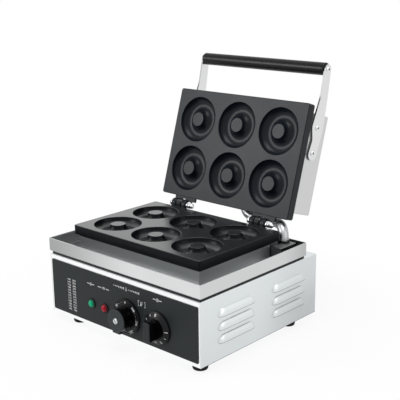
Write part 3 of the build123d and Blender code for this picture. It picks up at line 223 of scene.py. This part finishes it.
def brushed(name, dark, light, rough, turn=0.0, shaded=None):
    """Brushed sheet whose grain runs level along each wall; turn stands the lid's pieces shut again, and shaded gives
    the share of a dark tone from the place and the way that the sheet faces, which paints shade on the body, tray,
    shroud and riser and darkens the arms' edges."""
    steel = Finish(bpy.data.materials.new(name))
    spot = steel.stretched(steel.place(), (1, 1, 1), turn)
    facing = steel.stretched(steel.node("ShaderNodeTexCoord", output="Normal"), (1, 1, 1), turn)
    x, y, z = steel.axes(spot)
    nx, ny, nz = steel.axes(facing)
    side = abs(nx).step(0.6, 0.8)
    flat = abs(nz).step(0.6, 0.8)
    run = x * (1 - side) + y * side
    rise = z * (1 - flat) + y * flat
    grain = steel.node("ShaderNodeCombineXYZ", {}, {0: run * 14, 1: rise * 1500, 2: side * 7 + flat * 3})
    lines = steel.noise(grain, 1.0, 4.0, 0.65)
    cloud = steel.noise(spot, 11.0, 3.0)
    smear = steel.noise(spot, 46.0, 4.0, 0.6)
    colour = steel.mix(dark, light, lines * 0.7 + cloud * 0.3)
    if shaded:
        # the dark tone of painted shade, and of the arms' dark edges
        colour = steel.mix(colour, tone(46, 47, 49), shaded((x, y, z), (nx, ny, nz)))
    steel.surface(
        base_color=colour,
        metallic=1.0,
        roughness=rough + (lines - 0.5) * 0.16 + (cloud - 0.5) * 0.12 + (smear - 0.5) * 0.08,
        normal=steel.bump(lines, 0.00002, 0.35),
    )
    return steel


def dress(finish, *names):
    """Gives CAD nodes a finish."""
    for name in names:
        mesh = solids[name].data
        mesh.materials.clear()
        mesh.materials.append(finish.material)


def body_painted_shade(place, facing):
    """Painted shade on the body sheet: a dark line along the lip of each louvre and along the lower edge of each side
    wall, and a darkening that grows downwards; the sheet is also darker towards the rear."""
    x, y, z = place
    lower_edge, low, rear = 1 - z.step(0.0107, 0.0113), 1 - z.step(0.0, 0.115), y.step(-0.03, 0.11)
    dark = lower_edge + 0.1 * low + (0.11 + 0.1 * (1 - z.step(0.03, 0.09))) * rear
    on_louvre = abs(x).step(0.1754, 0.1760)
    # painted shade: a thin dark line at each louvre's lip
    for lip_height in (0.0380, 0.0595, 0.0810):
        dark += 0.8 * (1 - abs(z - lip_height).step(0.0003, 0.0009)) * on_louvre
    return dark * abs(facing[0]).step(0.3, 0.5)


# The body sheet carries painted shade at its louvres, along its lower edges and towards its foot.
body_steel = brushed("brushed body sheet", tone(216, 221, 222), tone(232, 236, 237), 0.42, shaded=body_painted_shade)
front_steel = brushed("brushed front sheet", tone(246, 248, 248), tone(252, 253, 253), 0.34)
dress(body_steel, "body_wrap", "rear_panel", "bottom_plate")
dress(front_steel, "front_sheet")


# Rear wall screws: six small cross-head screws in the wall's flanges. They are zinc-plated pan heads,
# turned from one pattern that the other screws of the machine are made from too.
def clear():
    """Deselects all, because an operator acts on whatever is selected."""
    bpy.ops.object.select_all(action="DESELECT")


def pick(kind, test):
    """In edit mode, selects only the faces or edges that pass a test."""
    mesh = bpy.context.object.data
    shape = bmesh.from_edit_mesh(mesh)
    bpy.ops.mesh.select_mode(type={"faces": "FACE", "edges": "EDGE"}[kind])
    bpy.ops.mesh.select_all(action="DESELECT")
    for element in getattr(shape, kind):
        element.select_set(test(element))
    shape.select_flush_mode()
    bmesh.update_edit_mesh(mesh)


def pan_screw(finish, head, height, shank, length):
    """Cross-recessed pan-head screw standing on the origin with its shank below."""
    clear()
    bpy.ops.mesh.primitive_cylinder_add(vertices=36, radius=head, depth=height, location=(0, 0, height / 2))
    screw = bpy.context.object
    screw.data.materials.append(finish.material)
    screw.data.materials.append(recess_painted_shade.material)
    bpy.ops.object.transform_apply(location=True)
    bpy.ops.object.mode_set(mode="EDIT")
    pick("edges", lambda edge: all(corner.co.z > height * 0.9 for corner in edge.verts))
    bpy.ops.mesh.bevel(offset=height * 0.62, segments=5, affect="EDGES")
    pick("faces", lambda face: face.normal.z < -0.9)
    bpy.ops.mesh.inset(thickness=head - shank)
    bpy.ops.mesh.extrude_region_move(TRANSFORM_OT_translate={"value": (0, 0, -length)})
    bpy.ops.mesh.bevel(offset=shank * 0.3, segments=1, affect="EDGES")
    bpy.ops.object.mode_set(mode="OBJECT")
    for spin in (0, 90):
        clear()
        bpy.ops.mesh.primitive_cube_add(size=1.0, location=(0, 0, height))
        bar = bpy.context.object
        bar.scale = (head * 1.25, head * 0.3, height * 1.1)
        bar.rotation_euler.z = math.radians(spin)
        bpy.ops.object.transform_apply()
        bar.data.materials.append(finish.material)
        bar.data.materials.append(recess_painted_shade.material)
        # the bar's faces, left as the recess, take the painted shade
        bar.data.polygons.foreach_set("material_index", [1] * len(bar.data.polygons))
        bpy.context.view_layer.objects.active = screw
        cut = screw.modifiers.new("recess", "BOOLEAN")
        cut.object = bar
        bpy.ops.object.modifier_apply(modifier=cut.name)
        bpy.data.objects.remove(bar)
    clear()
    screw.select_set(True)
    bpy.ops.object.shade_smooth_by_angle(angle=math.radians(32))
    return screw


def joined(name, pieces):
    """One object from several, named for the piece."""
    clear()
    for piece in pieces:
        piece.select_set(True)
    bpy.context.view_layer.objects.active = pieces[0]
    bpy.ops.object.join()
    pieces[0].name = name
    return pieces[0]


def screw_set(name, pattern, seats):
    """Copies of a screw on their seats, each turned a little further, as one piece."""
    copies = []
    for number, (spot, out) in enumerate(seats):
        copy = bpy.data.objects.new(name, pattern.data.copy())
        bpy.context.collection.objects.link(copy)
        turn = Vector((0, 0, 1)).rotation_difference(Vector(out)).to_matrix().to_4x4()
        spin = Matrix.Rotation(math.radians(23 + 41 * number), 4, "Z")
        copy.data.transform(Matrix.Translation(spot) @ turn @ spin)
        copies.append(copy)
    bpy.data.objects.remove(pattern)
    return joined(name, copies)


def mottled(name, first, second, scale, metallic, rough, depth, stretch=(1, 1, 1), shine=0.5):
    """Plain finish with a fine mottle of two colours, an uneven gloss and a shallow grain."""
    finish = Finish(bpy.data.materials.new(name))
    spot = finish.stretched(finish.place(), stretch)
    fine = finish.noise(spot, scale, 4.0, 0.6)
    broad = finish.noise(spot, scale / 9, 2.0)
    finish.surface(
        base_color=finish.mix(first, second, (fine * 0.6 + broad * 0.6 - 0.1).step(0.3, 0.7)),
        metallic=metallic,
        roughness=rough + (fine - 0.5) * 0.14 + (broad - 0.5) * 0.1,
        specular_ior_level=shine,
        normal=finish.bump(fine, depth, 0.5),
    )
    return finish


zinc = mottled("zinc plate", tone(176, 179, 182), tone(214, 216, 219), 900.0, 1.0, 0.26, 0.00002)
# The dark tone in the screws' cross recesses is painted shade.
recess_painted_shade = mottled("painted shade in screw recesses", tone(22, 22, 23), tone(40, 40, 41), 700.0, 0.0, 0.7, 0.00002)
rear_screws = screw_set(
    "rear_wall_screws",
    pan_screw(zinc, head=0.0034, height=0.0018, shank=0.0015, length=0.0035),
    [((x, 0.14675, z), (0, 1, 0)) for z in (0.0165, 0.1125) for x in (-0.160, 0.0, 0.160)],
)
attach(rear_screws, "base")


# Feet: four tapered black rubber feet, each held by a screw sunk in its middle. The rubber is matt,
# with a moulded grain and a little dust near the worktop.
rubber = Finish(bpy.data.materials.new("black rubber"))
rubber_spot = rubber.place()
rubber_grain = rubber.noise(rubber_spot, 1400.0, 3.0)
rubber_cloud = rubber.noise(rubber_spot, 120.0, 2.0)
rubber_dust = (1 - rubber.axes(rubber_spot)[2].step(0.0, 0.004)) * rubber_cloud.step(0.35, 0.75)
rubber.surface(
    base_color=rubber.mix(tone(10, 10, 11), tone(44, 43, 42), rubber_dust * 0.4 + rubber_grain * 0.1),
    roughness=0.62 + rubber_grain * 0.2,
    specular_ior_level=0.2,
    normal=rubber.bump(rubber_grain, 0.00006, 0.6),
)
dress(rubber, "foot_front_left", "foot_rear_left", "foot_front_right", "foot_rear_right")
foot_screws = screw_set(
    "foot_screw_set",
    pan_screw(zinc, head=0.0046, height=0.003, shank=0.0025, length=0.0116),
    [((x, y, 0.006), (0, 0, -1)) for x in (-0.122, 0.158) for y in (-0.12975, 0.09125)],
)
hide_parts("foot_screws")
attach(foot_screws, "base")


# Mains gland and earth bolt on the rear wall: a black nylon gland with its lock nut inside, and a brass
# bolt for an earth lead.
nylon = mottled("black nylon", tone(14, 14, 15), tone(24, 25, 26), 700.0, 0.0, 0.42, 0.00004, shine=0.25)
dress(nylon, "cord_gland", "cord_gland_nut")
brass = mottled("brass", tone(176, 142, 74), tone(206, 172, 98), 800.0, 1.0, 0.3, 0.00002)
dress(brass, "earth_stud")


# Control panel: a charcoal fascia plate with a fine satin paint. Its white prints are plain marks: a
# table of numbers, a small sign over each lamp and each knob, and a bracketed thermometer.
paint = Finish(bpy.data.materials.new("charcoal panel paint"))
paint_spot = paint.place()
paint_grain = paint.noise(paint_spot, 1900.0, 3.0, 0.6)
paint_cloud = paint.noise(paint_spot, 24.0, 3.0)
paint.surface(
    base_color=paint.mix(tone(26, 30, 31), tone(33, 38, 39), paint_cloud * 0.7 + paint_grain * 0.3),
    roughness=0.46 + (paint_grain - 0.5) * 0.2 + (paint_cloud - 0.5) * 0.1,
    specular_ior_level=0.2,
    normal=paint.bump(paint_grain, 0.00003, 0.5),
)
dress(paint, "control_panel")


def stroke(points, width, closed=False):
    """Printed line through points of a flat drawing, as a mesh a few hundredths of a millimetre thick."""
    drawn = bpy.data.curves.new("stroke", "CURVE")
    drawn.dimensions = "3D"
    drawn.bevel_depth = width / 2
    drawn.bevel_resolution = 1
    drawn.use_fill_caps = True
    line = drawn.splines.new("POLY")
    line.points.add(len(points) - 1)
    for corner, (x, y) in zip(line.points, points):
        corner.co = (x, y, 0, 1)
    line.use_cyclic_u = closed
    mark = bpy.data.objects.new("stroke", drawn)
    bpy.context.collection.objects.link(mark)
    return flattened(mark, 0.06)


def flattened(mark, share):
    """A drawn curve or text as a mesh, pressed thin."""
    clear()
    mark.select_set(True)
    bpy.context.view_layer.objects.active = mark
    bpy.ops.object.convert(target="MESH")
    mark = bpy.context.object
    mark.data.materials.clear()
    mark.data.transform(Matrix.Diagonal((1, 1, share, 1)))
    return mark


def numeral(words, size, swell=0.0):
    """Number as a thin mesh, centred on the origin of a flat drawing; swell thickens its lines."""
    clear()
    bpy.ops.object.text_add()
    text = bpy.context.object
    text.data.body = words
    text.data.size = size
    text.data.align_x = "CENTER"
    text.data.align_y = "CENTER"
    text.data.extrude = 0.00001
    text.data.offset = size * swell
    text.data.resolution_u = 3
    return flattened(text, 1.0)


def arc(x, y, radius, start, end, steps=14):
    """Points of an arc in a flat drawing, in degrees clockwise from the top."""
    angles = [math.radians(start + (end - start) * number / steps) for number in range(steps + 1)]
    return [(x + radius * math.sin(angle), y + radius * math.cos(angle)) for angle in angles]


panel_face = Matrix.Translation((0, -0.14777, 0)) @ Matrix.Rotation(math.radians(90), 4, "X")
print_white = Finish(bpy.data.materials.new("white print"))
print_wear = print_white.noise(print_white.place(), 900.0, 3.0)
print_white.surface(
    base_color=print_white.mix(tone(224, 226, 226), tone(246, 247, 246), print_wear.step(0.3, 0.6)),
    roughness=0.5 + print_wear * 0.15,
)

table_rows, table_top, table_pitch = 12, 0.0800, 0.0049
figure_size, figure_stretch = 0.0040, 1.45
marks = []
for row in range(table_rows):
    height = table_top - row * table_pitch
    for column, number in ((-0.1272, 140 + 5 * row), (-0.1140, 300 - 10 * row)):
        figure = numeral(f"{number}", figure_size)
        figure.data.transform(Matrix.Translation((column, height, 0)) @ Matrix.Diagonal((figure_stretch, 1, 1, 1)))
        marks.append(figure)
# over the lamps: a power sign and a heat sign, each between two dashes
marks.append(stroke(arc(-0.0703, 0.0855, 0.0021, 35, 325), 0.0008))
marks.append(stroke([(-0.0703, 0.0858), (-0.0703, 0.0884)], 0.0008))
for shift in (-0.0026, 0.0, 0.0026):
    wave = [(-0.0386 + shift + 0.0006 * math.sin(step * 0.9), 0.0836 + step * 0.0005) for step in range(9)]
    marks.append(stroke(wave, 0.0008))
for left, right in ((-0.0790, -0.0742), (-0.0664, -0.0618), (-0.0526, -0.0444), (-0.0328, -0.0248)):
    marks.append(stroke([(left, 0.0856), (right, 0.0856)], 0.0011))
# over the temperature dial: a thermometer between rising bars; over the timer: a clock face
marks.append(stroke(arc(0.0160, 0.0962, 0.0011, 0, 360), 0.0007))
marks.append(stroke([(0.0160, 0.0968), (0.0160, 0.1012)], 0.0008))
for number in range(7):
    for side in (-1, 1):
        reach = 0.0006 + 0.00022 * (number if side > 0 else 6 - number)
        place = 0.0160 + side * (0.0058 + 0.0039 * number)
        marks.append(stroke([(place, 0.0980 - reach), (place, 0.0980 + reach)], 0.0016))
marks.append(stroke(arc(0.0862, 0.0976, 0.0025, 0, 360), 0.0008, closed=True))
marks.append(stroke([(0.0862, 0.0994), (0.0862, 0.0976), (0.0874, 0.0970)], 0.0007))
for left, right in ((0.0768, 0.0822), (0.0902, 0.0958)):
    marks.append(stroke([(left, 0.0976), (right, 0.0976)], 0.0011))
# between the dials: a small thermometer in square brackets
for edge, inward in ((0.0432, 0.0022), (0.0588, -0.0022)):
    marks.append(stroke([(edge + inward, 0.0864), (edge, 0.0864), (edge, 0.0776), (edge + inward, 0.0776)], 0.0008))
marks.append(stroke(arc(0.0494, 0.0796, 0.0008, 0, 360), 0.0014))
marks.append(stroke([(0.0494, 0.0800), (0.0494, 0.0852)], 0.0012))
for height in (0.0820, 0.0834, 0.0848):
    marks.append(stroke([(0.0512, height), (0.0530, height)], 0.0006))
panel_prints = joined("panel_prints", marks)
panel_prints.data.transform(panel_face)
panel_prints.data.materials.append(print_white.material)
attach(panel_prints, "base")


# Indicator lamps: a green and a red domed lens of clear-coloured plastic in thin dark rims, with their
# holders behind the wall.
control_height = 0.0514


def lens_plastic(name, edge, middle, x):
    """Coloured lens with painted shade towards its rim, where the plastic is seen at a slant."""
    plastic = Finish(bpy.data.materials.new(name))
    spot = plastic.place()
    px, _, pz = plastic.axes(spot)
    reach = ((px - x) ** 2 + (pz - control_height) ** 2) ** 0.5
    ribs = plastic.node("ShaderNodeTexVoronoi", {}, {"Vector": spot, "Scale": 620.0})
    plastic.surface(
        base_color=plastic.mix(middle, edge, reach.step(0.0025, 0.0074)),
        roughness=0.14 + ribs * 0.1,
        specular_ior_level=0.16,
        normal=plastic.bump(ribs, 0.0001, 0.25),
    )
    return plastic


dress(lens_plastic("green lens", tone(0, 104, 72), tone(0, 172, 124), -0.069), "green_lamp_lens")
dress(lens_plastic("red lens", tone(112, 4, 20), tone(168, 10, 34), -0.037), "red_lamp_lens")
dress(nylon, "lamp_bezels")
lamp_case = mottled("lamp holder plastic", tone(58, 58, 60), tone(74, 74, 76), 600.0, 0.0, 0.5, 0.00004)
dress(lamp_case, "lamp_bodies")


# Temperature knob: moulded black hub on a grey dial skirt, with a grey face disc and a bright slotted
# button in its middle. The skirt carries white numbers, and dots between them.
def knob_plastic(name, x, rim, skirt_top, face_low, skirt, side, face):
    """Moulded knob, by depth off the panel: grey skirt with a black rim, glossy black hub and a grey face."""
    plastic = Finish(bpy.data.materials.new(name))
    spot = plastic.place()
    px, depth, pz = plastic.axes(spot)
    reach = ((px - x) ** 2 + (pz - control_height) ** 2) ** 0.5
    grain = plastic.noise(spot, 1500.0, 3.0)
    cloud = plastic.noise(spot, 70.0, 2.0)
    on_skirt = depth.step(skirt_top - 0.0001, skirt_top + 0.0001)
    on_face = 1 - depth.step(face_low - 0.0001, face_low + 0.0001)
    hub = plastic.mix(side, face, on_face)
    plastic.surface(
        base_color=plastic.mix(hub, skirt, on_skirt * (1 - reach.step(rim - 0.0003, rim + 0.0003))),
        roughness=0.22 + on_skirt * 0.1 + on_face * 0.2 + (grain - 0.5) * 0.12 + (cloud - 0.5) * 0.08,
        specular_ior_level=0.15,
        normal=plastic.bump(grain, 0.00004, 0.4),
    )
    return plastic


temperature_x = 0.0165
temperature_plastic = knob_plastic(
    "temperature knob plastic", temperature_x, rim=0.0288, skirt_top=-0.1516, face_low=-0.1716,
    skirt=tone(20, 21, 23), side=tone(4, 4, 5), face=tone(50, 54, 56),
)
dress(temperature_plastic, "temperature_knob")
button = Finish(bpy.data.materials.new("slotted button"))
button_spot = button.place()
button_x, _, button_z = button.axes(button_spot)
# The slot is painted as a dark line: painted shade of the slot.
button_slot_shade = 1 - abs((button_x - temperature_x) * 0.8 + (button_z - control_height) * 0.6).step(0.0006, 0.0009)
button_grain = button.noise(button_spot, 900.0, 3.0)
button.surface(
    base_color=button.mix(tone(212, 214, 216), tone(30, 31, 33), button_slot_shade),
    metallic=1 - button_slot_shade * 0.9,
    roughness=0.24 + button_grain * 0.12 + button_slot_shade * 0.3,
)
dress(button, "temperature_knob_cap")
dial_centre = Matrix.Translation((temperature_x, -0.15158, control_height))
dial_face = dial_centre @ Matrix.Rotation(math.radians(90), 4, "X")
dial_step, dial_radius = 52.5, 0.0250
marks = []
for number in range(7):
    figure = numeral(f"{50 * number}", 0.0058, 0.01)
    turn = Matrix.Rotation(math.radians(dial_step * number), 4, "Z")
    figure.data.transform(turn @ Matrix.Translation((0, dial_radius, 0)))
    marks.append(figure)
for number in range(6):
    for dot in range(1, 5):
        angle = -dial_step * (number + 0.12 + 0.19 * dot)
        marks.append(stroke([arc(0, 0, radius, angle, angle, 1)[0] for radius in (0.0243, 0.0250)], 0.0008))
temperature_prints = joined("temperature_dial_prints", marks)
temperature_prints.data.transform(dial_face)
temperature_prints.data.materials.append(print_white.material)
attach(temperature_prints, "temperature_dial")


# Timer knob: moulded bar grip on a sloping grey skirt, with a nought at the top and long and short ticks
# for minutes and half minutes round the rest.
timer_x = 0.0855
timer_plastic = knob_plastic(
    "timer knob plastic", timer_x, rim=0.0268, skirt_top=-0.15416, face_low=-0.1714,
    skirt=tone(20, 21, 23), side=tone(4, 4, 5), face=tone(40, 42, 44),
)
dress(timer_plastic, "timer_knob")
skirt_drop, skirt_run = 0.0042, 0.0095
slope = math.atan2(skirt_drop, skirt_run)
marks = []
for angle in range(90, 331, 30):
    reach = 0.0030 if angle % 60 and angle < 300 else 0.0016
    marks.append((stroke([(0, -reach), (0, reach)], 0.0010), angle))
marks.append((numeral("0", 0.0066, 0.02), 0))
for mark, angle in marks:
    lean = Matrix.Translation((0, 0.0226, 0.00459)) @ Matrix.Rotation(-slope, 4, "X")
    mark.data.transform(Matrix.Rotation(math.radians(-angle), 4, "Z") @ lean)
timer_prints = joined("timer_dial_prints", [mark for mark, _ in marks])
timer_face = Matrix.Translation((timer_x, -0.14775, control_height)) @ Matrix.Rotation(math.radians(90), 4, "X")
timer_prints.data.transform(timer_face)
timer_prints.data.materials.append(print_white.material)
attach(timer_prints, "timer_dial")


# Controls and wiring inside the body: phenolic cases with steel shafts, a copper bulb and capillary, a
# cut-out disc, a porcelain terminal block and glass-sleeved leads.
phenolic = mottled("brown phenolic", tone(70, 62, 55), tone(88, 78, 70), 320.0, 0.0, 0.5, 0.00006)
dress(phenolic, "thermostat_body", "timer_body")
dress(zinc, "thermostat_shaft", "timer_shaft")
copper = mottled("copper", tone(170, 104, 74), tone(196, 128, 96), 500.0, 1.0, 0.32, 0.00002)
dress(copper, "thermostat_bulb")
porcelain = mottled("glazed porcelain", tone(222, 216, 204), tone(236, 232, 222), 260.0, 0.0, 0.26, 0.00004)
dress(porcelain, "terminal_block")
cutout_case = mottled("cut-out case", tone(150, 152, 152), tone(184, 186, 186), 420.0, 0.9, 0.34, 0.00003)
dress(cutout_case, "thermal_cutout")
sleeve = Finish(bpy.data.materials.new("braided glass sleeve"))
sleeve_braid = sleeve.node("ShaderNodeTexVoronoi", {}, {"Vector": sleeve.place(), "Scale": 1500.0})
sleeve.surface(
    base_color=sleeve.mix(tone(196, 188, 170), tone(226, 220, 206), sleeve_braid),
    roughness=0.7 + sleeve_braid * 0.15,
    normal=sleeve.bump(sleeve_braid, 0.0001, 0.7),
)
dress(sleeve, "wiring")


# Heat barrier and drip tray: a black mineral board under a stainless tray with folded, welded corners.
# The shroud inside it and the conduit's riser box are the same sheet, in darker tones that are painted shade.
# The board's black also stands in for the shade in the gap between tray and body: partly painted shade.
board = mottled("black mineral board", tone(20, 20, 21), tone(34, 34, 35), 520.0, 0.0, 0.82, 0.0002)
dress(board, "heat_barrier")


def tray_painted_shade(place, facing):
    """Painted shade: a darker left end of the tray's front and of its floor inside, and a darkening on its right wall
    that grows to the rear.
    """
    x, y, z = place
    front = 0.5 * (1 - x.step(-0.19, 0.06)) * (-1 * facing[1]).step(0.5, 0.8)
    right = (0.1 + 0.26 * y.step(0.04, 0.13)) * x.step(0.16, 0.17) * facing[0].step(0.5, 0.8)
    below_rim = (1 - z.step(0.140, 0.1425)) * z.step(0.1216, 0.1219)
    inside = 0.45 * (1 - x.step(-0.15, 0.05)) * below_rim
    return front + right + inside * (facing[2] + facing[0]).step(0.5, 0.8)


def shroud_painted_shade(place, facing):
    """Painted shade: a dark band under the plate's rim, and a lighter darkening on the front and on the front half of
    the right wall.
    """
    _, y, z = place
    wall = 1 - abs(facing[2]).step(0.5, 0.8)
    film = 0.4 * (-1 * facing[1]).step(0.5, 0.8) + 0.42 * (1 - y.step(-0.13, 0.03)) * facing[0].step(0.5, 0.8)
    return (z.step(0.1456, 0.1464) + film) * wall


def riser_painted_shade(place, facing):
    """Painted shade and painted reflection of the plate: all of the riser but the right of its top, and less on its
    front.
    """
    bare = place[0].step(0.1436, 0.1446) * facing[2].step(0.5, 0.8)
    return 1 - bare - 0.4 * (-1 * facing[1]).step(0.5, 0.8)


tray_steel = brushed("brushed tray sheet", tone(210, 212, 212), tone(227, 229, 229), 0.33, shaded=tray_painted_shade)
dress(tray_steel, "drip_tray")
shroud_steel = brushed("shroud sheet with painted shade", tone(186, 188, 189), tone(208, 210, 211), 0.36, shaded=shroud_painted_shade)
dress(shroud_steel, "lower_shroud")
# The riser's darker tones are painted shade too.
riser_steel = brushed("riser sheet", tone(122, 122, 122), tone(146, 146, 146), 0.4, shaded=riser_painted_shade)
dress(riser_steel, "conduit_riser")


# Mould plates: two aluminium castings from one pattern with a black release coat. The coat is satin,
# with a fine cast grain under it, and use has polished it where the lower plate faces up.
def release_coat(name, dark, light, rough, shine, polished):
    """Black release coat over a cast face; the lower plate's is polished by use where it faces up."""
    coat = Finish(bpy.data.materials.new(name))
    spot = coat.place()
    grain = coat.noise(spot, 1100.0, 4.0, 0.65)
    cloud = coat.noise(spot, 18.0, 3.0)
    speck = coat.node("ShaderNodeTexVoronoi", {}, {"Vector": spot, "Scale": 900.0})
    rubbed = 0.0
    if polished:
        rubbed = coat.axes(coat.node("ShaderNodeTexCoord", output="Normal"))[2].step(0.45, 0.9)
    coat.surface(
        base_color=coat.mix(dark, light, cloud * 0.6 + (1 - speck.step(0.1, 0.3)) * 0.4),
        roughness=rough + (grain - 0.5) * 0.16 + (cloud - 0.5) * 0.1,
        specular_ior_level=shine,
        coat_weight=rubbed,
        coat_roughness=0.25,
        coat_ior=1.6,
        normal=coat.bump(grain, 0.00004, 0.4),
    )
    return coat


lower_coat = release_coat("lower release coat", tone(12, 14, 17), tone(19, 22, 26), 0.3, 0.08, polished=True)
dress(lower_coat, "lower_plate")
upper_coat = release_coat("upper release coat", tone(13, 18, 25), tone(21, 27, 35), 0.33, 0.18, polished=False)
dress(upper_coat, "upper_plate")


# Heaters behind the plates: bent tubular elements with an oxidised sheath, pressed on by galvanised
# clamp plates with hexagon bolts, and backed by mineral wool board. Studs and nuts hold the lower one.
sheath = mottled("oxidised heater sheath", tone(74, 66, 60), tone(112, 98, 86), 340.0, 0.8, 0.5, 0.00006)
dress(sheath, "lower_heater", "upper_heater")
galvanised = mottled("galvanised sheet", tone(150, 153, 156), tone(188, 191, 194), 130.0, 1.0, 0.4, 0.00002)
dress(galvanised, "lower_clamp_plate", "upper_clamp_plate")
dress(zinc, "lower_clamp_bolts", "upper_clamp_bolts", "plate_studs", "plate_stud_nuts", "cover_posts", "arm_nuts")
wool = mottled("mineral wool board", tone(176, 170, 152), tone(206, 200, 184), 420.0, 0.0, 0.92, 0.0006, (1, 3, 9))
dress(wool, "lower_insulation", "upper_insulation")


# Hinges: on each side a hexagon bolt runs through three knuckles of the castings, with plain washers and
# a chromed domed nut.
chrome = mottled("bright chrome", tone(222, 224, 226), tone(238, 240, 242), 700.0, 1.0, 0.18, 0.00001)
dress(chrome, "hinge_bolts", "hinge_dome_nuts", "hinge_washers")


# Lid cover: a folded stainless box over the back of the upper plate, held by four pan-head screws into
# posts. Its grain runs level when the lid is shut.
lid_turn = 107.25
lid_steel = brushed("brushed lid sheet", tone(200, 200, 201), tone(214, 214, 215), 0.36, lid_turn)
dress(lid_steel, "lid_cover")
hinge_y, hinge_z = 0.0967, 0.1667
hinge = Matrix.Translation((0, hinge_y, hinge_z))
lid_open = hinge @ Matrix.Rotation(math.radians(-lid_turn), 4, "X") @ hinge.inverted()


def on_lid(spot, out):
    """Seat of a screw given with the lid shut, turned to where it rests with the lid open."""
    return lid_open @ Vector(spot), lid_open.to_3x3() @ Vector(out)


cover_screws = screw_set(
    "cover_screw_set",
    pan_screw(zinc, head=0.0048, height=0.0026, shank=0.0025, length=0.0102),
    [on_lid((x, y, 0.2383), (0, 0, 1)) for x in (-0.1261, 0.1311) for y in (-0.0950, 0.0616)],
)
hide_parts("cover_screws")
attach(cover_screws, "lid")


# Handle: two flat steel arms with rounded lobes, each on two screws, and a black moulded grip between
# them that a screw holds at each end.
def arm_edges_and_shade(place, facing):
    """Punched edge of an arm, which is dark beside its polished faces; the dark is also painted shade along the arm's
    edges.
    """
    return 0.9 * (1 - abs(facing[0]).step(0.4, 0.7))


arm_steel = brushed("polished arm steel", tone(215, 215, 216), tone(229, 229, 230), 0.24, lid_turn, arm_edges_and_shade)
dress(arm_steel, "handle_arm_left", "handle_arm_right")
arm_faces = (-0.1379, 0.1429)
arm_screws = screw_set(
    "arm_screw_set",
    pan_screw(chrome, head=0.0046, height=0.0024, shank=0.0025, length=0.0097),
    [on_lid((x, y, 0.2055), (x, 0, 0)) for x in arm_faces for y in (-0.0796, -0.0361)],
)
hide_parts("arm_screws")
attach(arm_screws, "lid")
grip_screws = screw_set(
    "grip_screw_set",
    pan_screw(chrome, head=0.0046, height=0.0024, shank=0.0025, length=0.01885),
    [on_lid((x, -0.1805, 0.2035), (x, 0, 0)) for x in arm_faces],
)
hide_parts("grip_screws")
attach(grip_screws, "lid")
grip_plastic = mottled("black grip plastic", tone(5, 5, 6), tone(10, 10, 11), 620.0, 0.0, 0.3, 0.00006, shine=0.2)
dress(grip_plastic, "handle_grip")


# Conduit: an interlocked steel hose from the riser box, round behind the right hinge and up into the lid cover, with
# a collar at each end.
hose_route = [
    (0.142, 0.098, 0.1440), (0.142, 0.098, 0.1652), (0.106, 0.1272, 0.1652), (0.025, 0.1330, 0.1578),
    (0.025, 0.1398, 0.1798),
]
hose_radius, hose_groove, hose_pitch, hose_sides = 0.0087, 0.00025, 0.0022, 28
line = bpy.data.curves.new("hose line", "CURVE")
line.dimensions = "3D"
line.resolution_u = 60
spline = line.splines.new("NURBS")
spline.points.add(len(hose_route) - 1)
for control, spot in zip(spline.points, hose_route):
    control.co = (*spot, 1)
spline.order_u = 3
spline.use_endpoint_u = True
line_object = bpy.data.objects.new("hose line", line)
bpy.context.collection.objects.link(line_object)
bpy.context.view_layer.update()
sampled = bpy.data.meshes.new_from_object(line_object)
trail = [corner.co.copy() for corner in sampled.vertices]
bpy.data.objects.remove(line_object)
reached = [0.0]
for before, after in zip(trail, trail[1:]):
    reached.append(reached[-1] + (after - before).length)
ring_count = int(reached[-1] / hose_pitch * 8)
rings, leg = [], 0
for number in range(ring_count + 1):
    along = reached[-1] * number / ring_count
    while leg < len(trail) - 2 and reached[leg + 1] < along:
        leg += 1
    share = (along - reached[leg]) / (reached[leg + 1] - reached[leg])
    rings.append((along, trail[leg].lerp(trail[leg + 1], share)))
corners, faces, turns = [], [], []
side = Vector((1, 0, 0))
for number, (along, spot) in enumerate(rings):
    ahead = rings[min(number + 1, ring_count)][1] - rings[max(number - 1, 0)][1]
    ahead.normalize()
    side = (side - ahead * side.dot(ahead)).normalized()
    other = ahead.cross(side)
    rib = abs(math.sin(math.pi * along / hose_pitch)) ** 0.5
    radius = hose_radius - hose_groove * (1 - rib)
    for step in range(hose_sides):
        angle = 2 * math.pi * step / hose_sides
        corners.append(spot + (side * math.cos(angle) + other * math.sin(angle)) * radius)
        turns.append(along / hose_pitch)
for number in range(ring_count):
    for step in range(hose_sides):
        a = number * hose_sides + step
        b = number * hose_sides + (step + 1) % hose_sides
        faces.append((a, b, b + hose_sides, a + hose_sides))
faces.append(tuple(reversed(range(hose_sides))))
faces.append(tuple(range(ring_count * hose_sides, (ring_count + 1) * hose_sides)))
hose_mesh = bpy.data.meshes.new("conduit_hose")
hose_mesh.from_pydata(corners, [], faces)
hose_turns = hose_mesh.attributes.new("turns", "FLOAT", "POINT")
hose_turns.data.foreach_set("value", turns)
hose_mesh.shade_smooth()
hose = bpy.data.objects.new("conduit_hose", hose_mesh)
bpy.context.collection.objects.link(hose)
hose_steel = Finish(bpy.data.materials.new("interlocked hose steel"))
hose_along = hose_steel.node("ShaderNodeAttribute", {"attribute_name": "turns"}, output="Fac")
hose_unshaded_ridge = 1 - abs(hose_along.math("FRACT", hose_along) - 0.5) * 2
hose_cloud = hose_steel.noise(hose_steel.place(), 260.0, 3.0)
hose_steel.surface(
    # Painted shade darkens the hose's grooves between its ridges.
    base_color=hose_steel.mix(tone(150, 151, 153), tone(184, 185, 187), hose_unshaded_ridge.step(0.1, 0.5)),
    metallic=1.0,
    roughness=0.3 + hose_cloud * 0.12,
)
hose.data.materials.append(hose_steel.material)
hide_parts("flex_conduit")
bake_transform(hose)
dress(nylon, "base_ferrule")
dress(zinc, "lid_ferrule")
